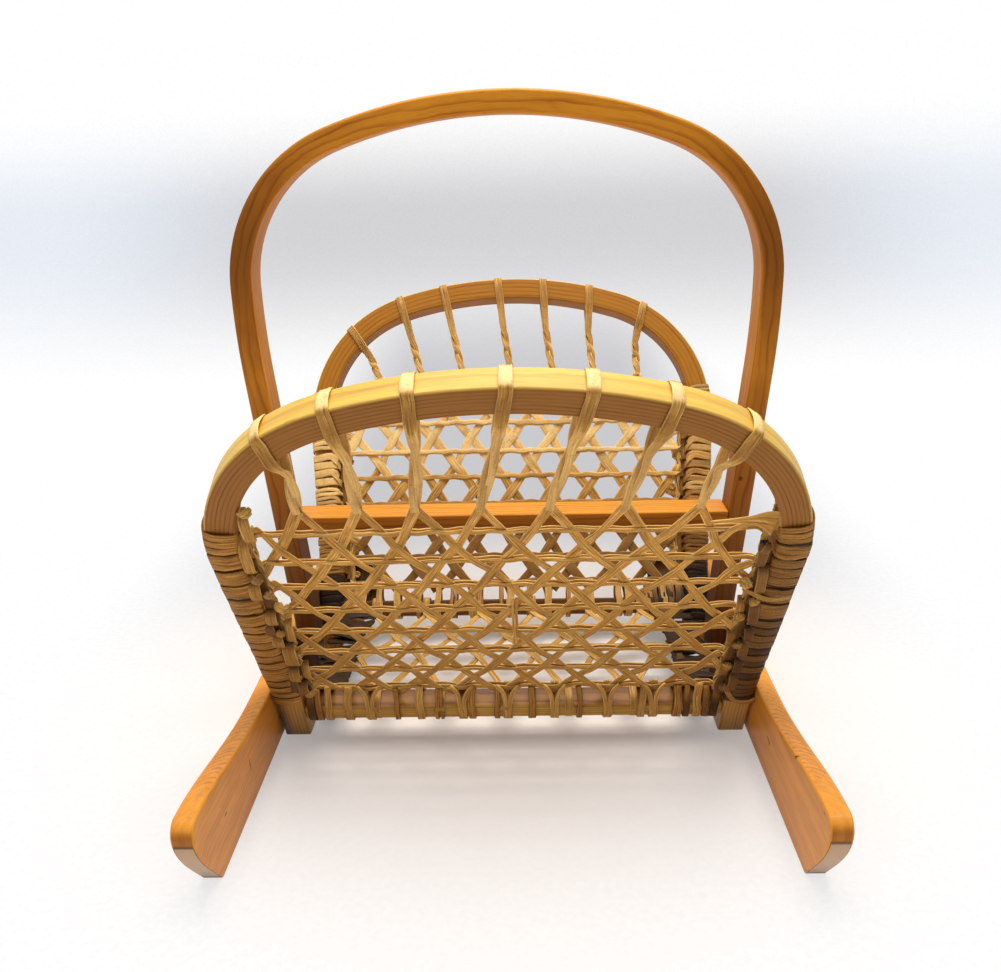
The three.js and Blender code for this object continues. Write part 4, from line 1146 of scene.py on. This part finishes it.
def edge_thong(shape, side, dark):
    """A lacing behind the chain, dark as painted shade between the chain and the leg, and the thong of two
    strands that the net turns round.
    """
    stations = []
    for k in range(18):
        y = 168 - 7.6 * k
        x = leg_x(PANEL, 19.8, y) + 0.8 * math.sin(k * 1.9)
        place = (side * x, y, 0.8 * math.sin(k * 2.7) - 3.2)
        stations.append(station(place, (0, 0, 1), random.uniform(0.8, 1.2), dark))
    strap(shape, stations, 6.5, 1.4)
    for phase in (0, math.pi):
        stations = []
        for k in range(36):
            y = 190 - k * 4.3
            sway = k * 0.9 + phase
            place = (side * (net_edge(y) + 2.4 + 0.9 * math.cos(sway)), y, 1.2 * math.sin(sway) - 5.2)
            stations.append(station(place, (math.cos(sway) * side, 0, math.sin(sway) + 0.01), 1, 0.3))
        strap(shape, stations, 2.6, 1.3)


def add_selvedges():
    """Down each side of a net: a chain of short straps and knots that step down over the leg's inner edge,
    and the thong that the net turns round."""
    for name, _, turn, _ in PANELS:
        for hand, side in (("left", -1), ("right", 1)):
            shape = new_rawhide()
            if name == "front":
                front_chain(shape, side)
            else:
                back_chain(shape, side)
            edge_thong(shape, side, 1.5 if name == "front" else 1.0)
            set_piece(f"{name}_{hand}_selvedge_chain", shape, panel_place(turn), "rawhide",
                      f"{name}_{hand}_selvedge")


def add_bar_bindings():
    ends = ((-131, 6, NEARLY_BLACK), (-126, 6, 1.8), (104, 5, 1.6), (112, 5.5, 1.9), (118, 5, 1.9),
            (129, 6, NEARLY_BLACK))
    for name, net, turn, side in PANELS:
        shape = new_rawhide()
        for x, width, tone in BAR_WINDINGS if name == "front" else BAR_WINDINGS + ends:
            bar_tie(shape, side * x, width, net.rails[-1] - 2, False, tone)
        set_piece(name + "_crossbar_binding", shape, panel_place(turn), "rawhide_wrap",
                  name + "_crossbar_wrap")


def add_bottom_net():
    """The level net between the crossbars: three rails, slanting strands, and ties round both bars."""
    shape = new_rawhide()
    bar_y = (PANEL_FOOT_SPACING / 2 + (CROSSBAR.bottom + CROSSBAR.width / 2) * math.sin(PANEL_LEAN)
             - NET_DEPTH * math.cos(PANEL_LEAN))
    bar_z = (CROSSBAR.bottom + CROSSBAR.width / 2) * math.cos(PANEL_LEAN) + NET_DEPTH * math.sin(PANEL_LEAN)
    rows = (bar_y - 12, 20, -10, 12 - bar_y)
    rails = (36, 5, -25)
    half = 112
    pitch = 20
    first = -105

    def column(c, y):
        return first + pitch * c + 2.5 * noise.noise((c * 1.7, y * 0.05, 3.0))

    for start in range(-4, 16, 2):
        for way in (-1, 1):
            places = []
            for i, y in enumerate(rows):
                c = start + way * i
                places.append((column(c, y), y, 0.7 * way))
                if i + 1 < len(rows):
                    share = (y - rails[i]) / (y - rows[i + 1])
                    step = column(c + way, rows[i + 1]) - column(c, y)
                    places.append((column(c, y) + step * share, rails[i], 1.3 * way))
            kept = [place for place in places if abs(place[0]) < half]
            if len(kept) < 2:
                continue
            stations = [station((x, y, z + bar_z), tilted(0.12), random.uniform(0.88, 1.08))
                        for x, y, z in kept]
            strap(shape, stations, 4.6, 1.15, dish=0.2)
    for y in rails:
        for strand in (-1, 1):
            stations = []
            for i in range(13):
                x = -half + 2 * half * i / 12
                aside = strand * (1.3 + 0.6 * noise.noise((x * 0.05, y, strand)))
                stations.append(station((x, y + aside, bar_z), tilted(0.12), random.uniform(0.9, 1.1)))
            strap(shape, stations, 2.9, 1.05, dish=0.1)
    # its sides are laced to the hoops with nearly black straps
    for side in (-1, 1):
        for k in range(26):
            y = 66 - 5 * k + random.uniform(-2, 2)
            slant = random.uniform(-9, 9)
            stations = [station((side * (108 - 6 * ramp(y, 10, 60)), y, bar_z + 1.5), tilted(0.2)),
                        station((side * 120, y + slant * 0.6, bar_z + random.uniform(-1, 4)), tilted(0.4),
                                1.2),
                        station((side * 132.5, y + slant, bar_z + random.uniform(-2, 5)), tilted(0.4))]
            for point in stations:
                point[7] = NEARLY_BLACK
            strap(shape, stations, random.uniform(5, 9), 1.2)
        stations = [station((side * (113 + 2 * math.sin(k)), 62 - 12.4 * k, bar_z + 1.2 * math.cos(k)),
                            tilted(0.3), 1, 1.5) for k in range(11)]
        strap(shape, stations, 6, 2)
    # ties: from each gather over its bar, round it and back
    stops = round_corners(CROSSBAR.width / 2, CROSSBAR.thickness / 2, 0.8)
    for end, columns in ((1, range(0, 12, 2)), (-1, range(1, 12, 2))):
        for c in columns:
            y = rows[0] if end > 0 else rows[-1]
            x = column(c, y)
            if abs(x) > half:
                continue
            stations = [station((x, y, bar_z + 0.6), (0, 0, 1), 1)]
            # the bar's section, turned as it stands: across its width is up the slope
            for stop, way in stops[1:10]:
                local = Vector((0, -stop.y, stop.x))
                out = Vector((0, -way.y, way.x))
                if end > 0:
                    local.y, out.y = -local.y, -out.y
                lean = Matrix.Rotation(end * -PANEL_LEAN, 3, "X")
                stations.append(station(lean @ local + Vector((x, end * bar_y, bar_z)), lean @ out, 1, 0.7))
            stations.append(station((x, y, bar_z - 0.6), (0, 0, -1), 1))
            strap(shape, stations, 4.8, 1.2, dish=0.15)
    set_piece("bottom_net", shape, Matrix.Identity(4), "rawhide", "bottom_lacing")


# Stage and light


PAPER = SimpleNamespace(half_width=3500, front=-2500, bend_start=900, bend_radius=600, wall=2500, below=0.15)


def add_stage():
    """A paper sweep just under the feet: level floor, one bend, then straight up."""
    shape = bmesh.new()
    edge = shape.edges.new([shape.verts.new((x, PAPER.front, -PAPER.below))
                            for x in (-PAPER.half_width, PAPER.half_width)])
    rim = draw_out(shape, [edge], (0, PAPER.bend_start - PAPER.front, 0))
    centre = (0, PAPER.bend_start, PAPER.bend_radius - PAPER.below)
    rim = swing(shape, rim, centre, (1, 0, 0), math.pi / 2, 24)
    draw_out(shape, rim, (0, 0, PAPER.wall))
    bmesh.ops.recalc_face_normals(shape, faces=shape.faces)
    new_piece("sweep", shape, Matrix.Identity(4), white_paper())


def white_paper():
    """White paper: it burns out to white, but for a soft grey shade on the floor behind the rack and a cooler
    band across the backdrop. It takes the rack's shadow near the rack, and is grey to other surfaces, so that
    it doesn't light them from below."""
    made, tree = blank("paper_sweep")
    where = rack_place(tree)
    parts = node(tree, "ShaderNodeSeparateXYZ", {0: where})
    # metres back and then up along the sweep, and metres to the side
    back = maths(tree, "ADD", parts.outputs["Y"], parts.outputs["Z"])
    aside = maths(tree, "ABSOLUTE", parts.outputs["X"])
    band = maths(tree, "MULTIPLY", hump(tree, back, 1.0, 1.6, 1.66, 1.96),
                 remap(tree, aside, 0.4, 0.95, 0.85, 0.45, soft=True))
    behind = maths(tree, "MULTIPLY", hump(tree, back, -0.03, 0.28, 1.0, 1.7),
                   remap(tree, aside, 0.36, 0.16, soft=True))
    grey = blend(tree, remap(tree, aside, 0.4, 0.95, soft=True), "#cbcacd", "#c8d6ea")
    tone = blend(tree, maths(tree, "MAXIMUM", band, behind), "#ffffff", grey)
    # the paper's tooth, 4 mm across, and faint clouds
    tooth = remap(tree, fractal(tree, where, 240.0, 4.0, 0.7), 0.3, 0.7, 0.965, 1.035)
    tone = blend(tree, 1.0, tone, tooth, "MULTIPLY")
    reach = vector_maths(tree, "LENGTH", where, output="Value")
    lit = node(tree, "ShaderNodeBsdfDiffuse", {"Color": hex_colour("#ede7e2")}).outputs[0]
    glow = node(tree, "ShaderNodeEmission", {"Color": tone, "Strength": 1.0}).outputs[0]
    seen = node(tree, "ShaderNodeMixShader", {0: remap(tree, reach, 0.08, 0.36, 0.15, 1.0, soft=True), 1: lit,
                                              2: glow}).outputs[0]
    unseen = node(tree, "ShaderNodeBsdfDiffuse", {"Color": hex_colour("#ebe4d8")}).outputs[0]
    path = node(tree, "ShaderNodeLightPath")
    shown = path.outputs["Is Camera Ray"]
    for ray in ("Is Glossy Ray", "Is Transmission Ray"):
        shown = maths(tree, "ADD", shown, path.outputs[ray], clamp=True)
    surface = node(tree, "ShaderNodeMixShader", {0: shown, 1: unseen, 2: seen}).outputs[0]
    node(tree, "ShaderNodeOutputMaterial", {"Surface": surface})
    return made


def add_lamp(name, place, target, size, power_watts, colour):
    data = bpy.data.lights.new(name, "AREA")
    data.shape, data.size, data.energy = "DISK", size, power_watts
    data.color = hex_colour(colour)[:3]
    lamp = bpy.data.objects.new(name, data)
    turn = (Vector(target) - Vector(place)).to_track_quat("-Z", "Y").to_matrix().to_4x4()
    lamp.matrix_world = Matrix.Translation(place) @ turn
    bpy.context.scene.collection.objects.link(lamp)


def add_light():
    world = bpy.data.worlds.new("studio")
    bpy.context.scene.world = world
    world.use_nodes = True
    world.node_tree.nodes.clear()
    tree = world.node_tree
    # it lights the rack softly, and the camera sees it white past the paper's edges
    sky, white = (
        node(tree, "ShaderNodeBackground", {"Color": hex_colour(colour), "Strength": strength}).outputs[0]
        for colour, strength in (("#f4f6ff", 0.32), ("#ffffff", 1.0)))
    seen = node(tree, "ShaderNodeLightPath").outputs["Is Camera Ray"]
    sky = node(tree, "ShaderNodeMixShader", {0: seen, 1: sky, 2: white}).outputs[0]
    node(tree, "ShaderNodeOutputWorld", {"Surface": sky})
    add_lamp("overhead", (0.05, 0.05, 1.6), (0, 0.0, 0.1), 1.3, 32, "#fff9f0")
    add_lamp("front_fill", (-0.9, -1.6, 0.9), (0, 0, 0.15), 1.2, 3, "#fff4e6")


bpy.context.scene.view_settings.view_transform = "Standard"
make_camera()
add_stage()
add_light()
add_feet()
add_screws()
add_hoops()
add_bars()
add_nets()
add_loops()
add_leg_bindings()
add_selvedges()
add_bar_bindings()
add_bottom_net()

bpy.context.view_layer.update()
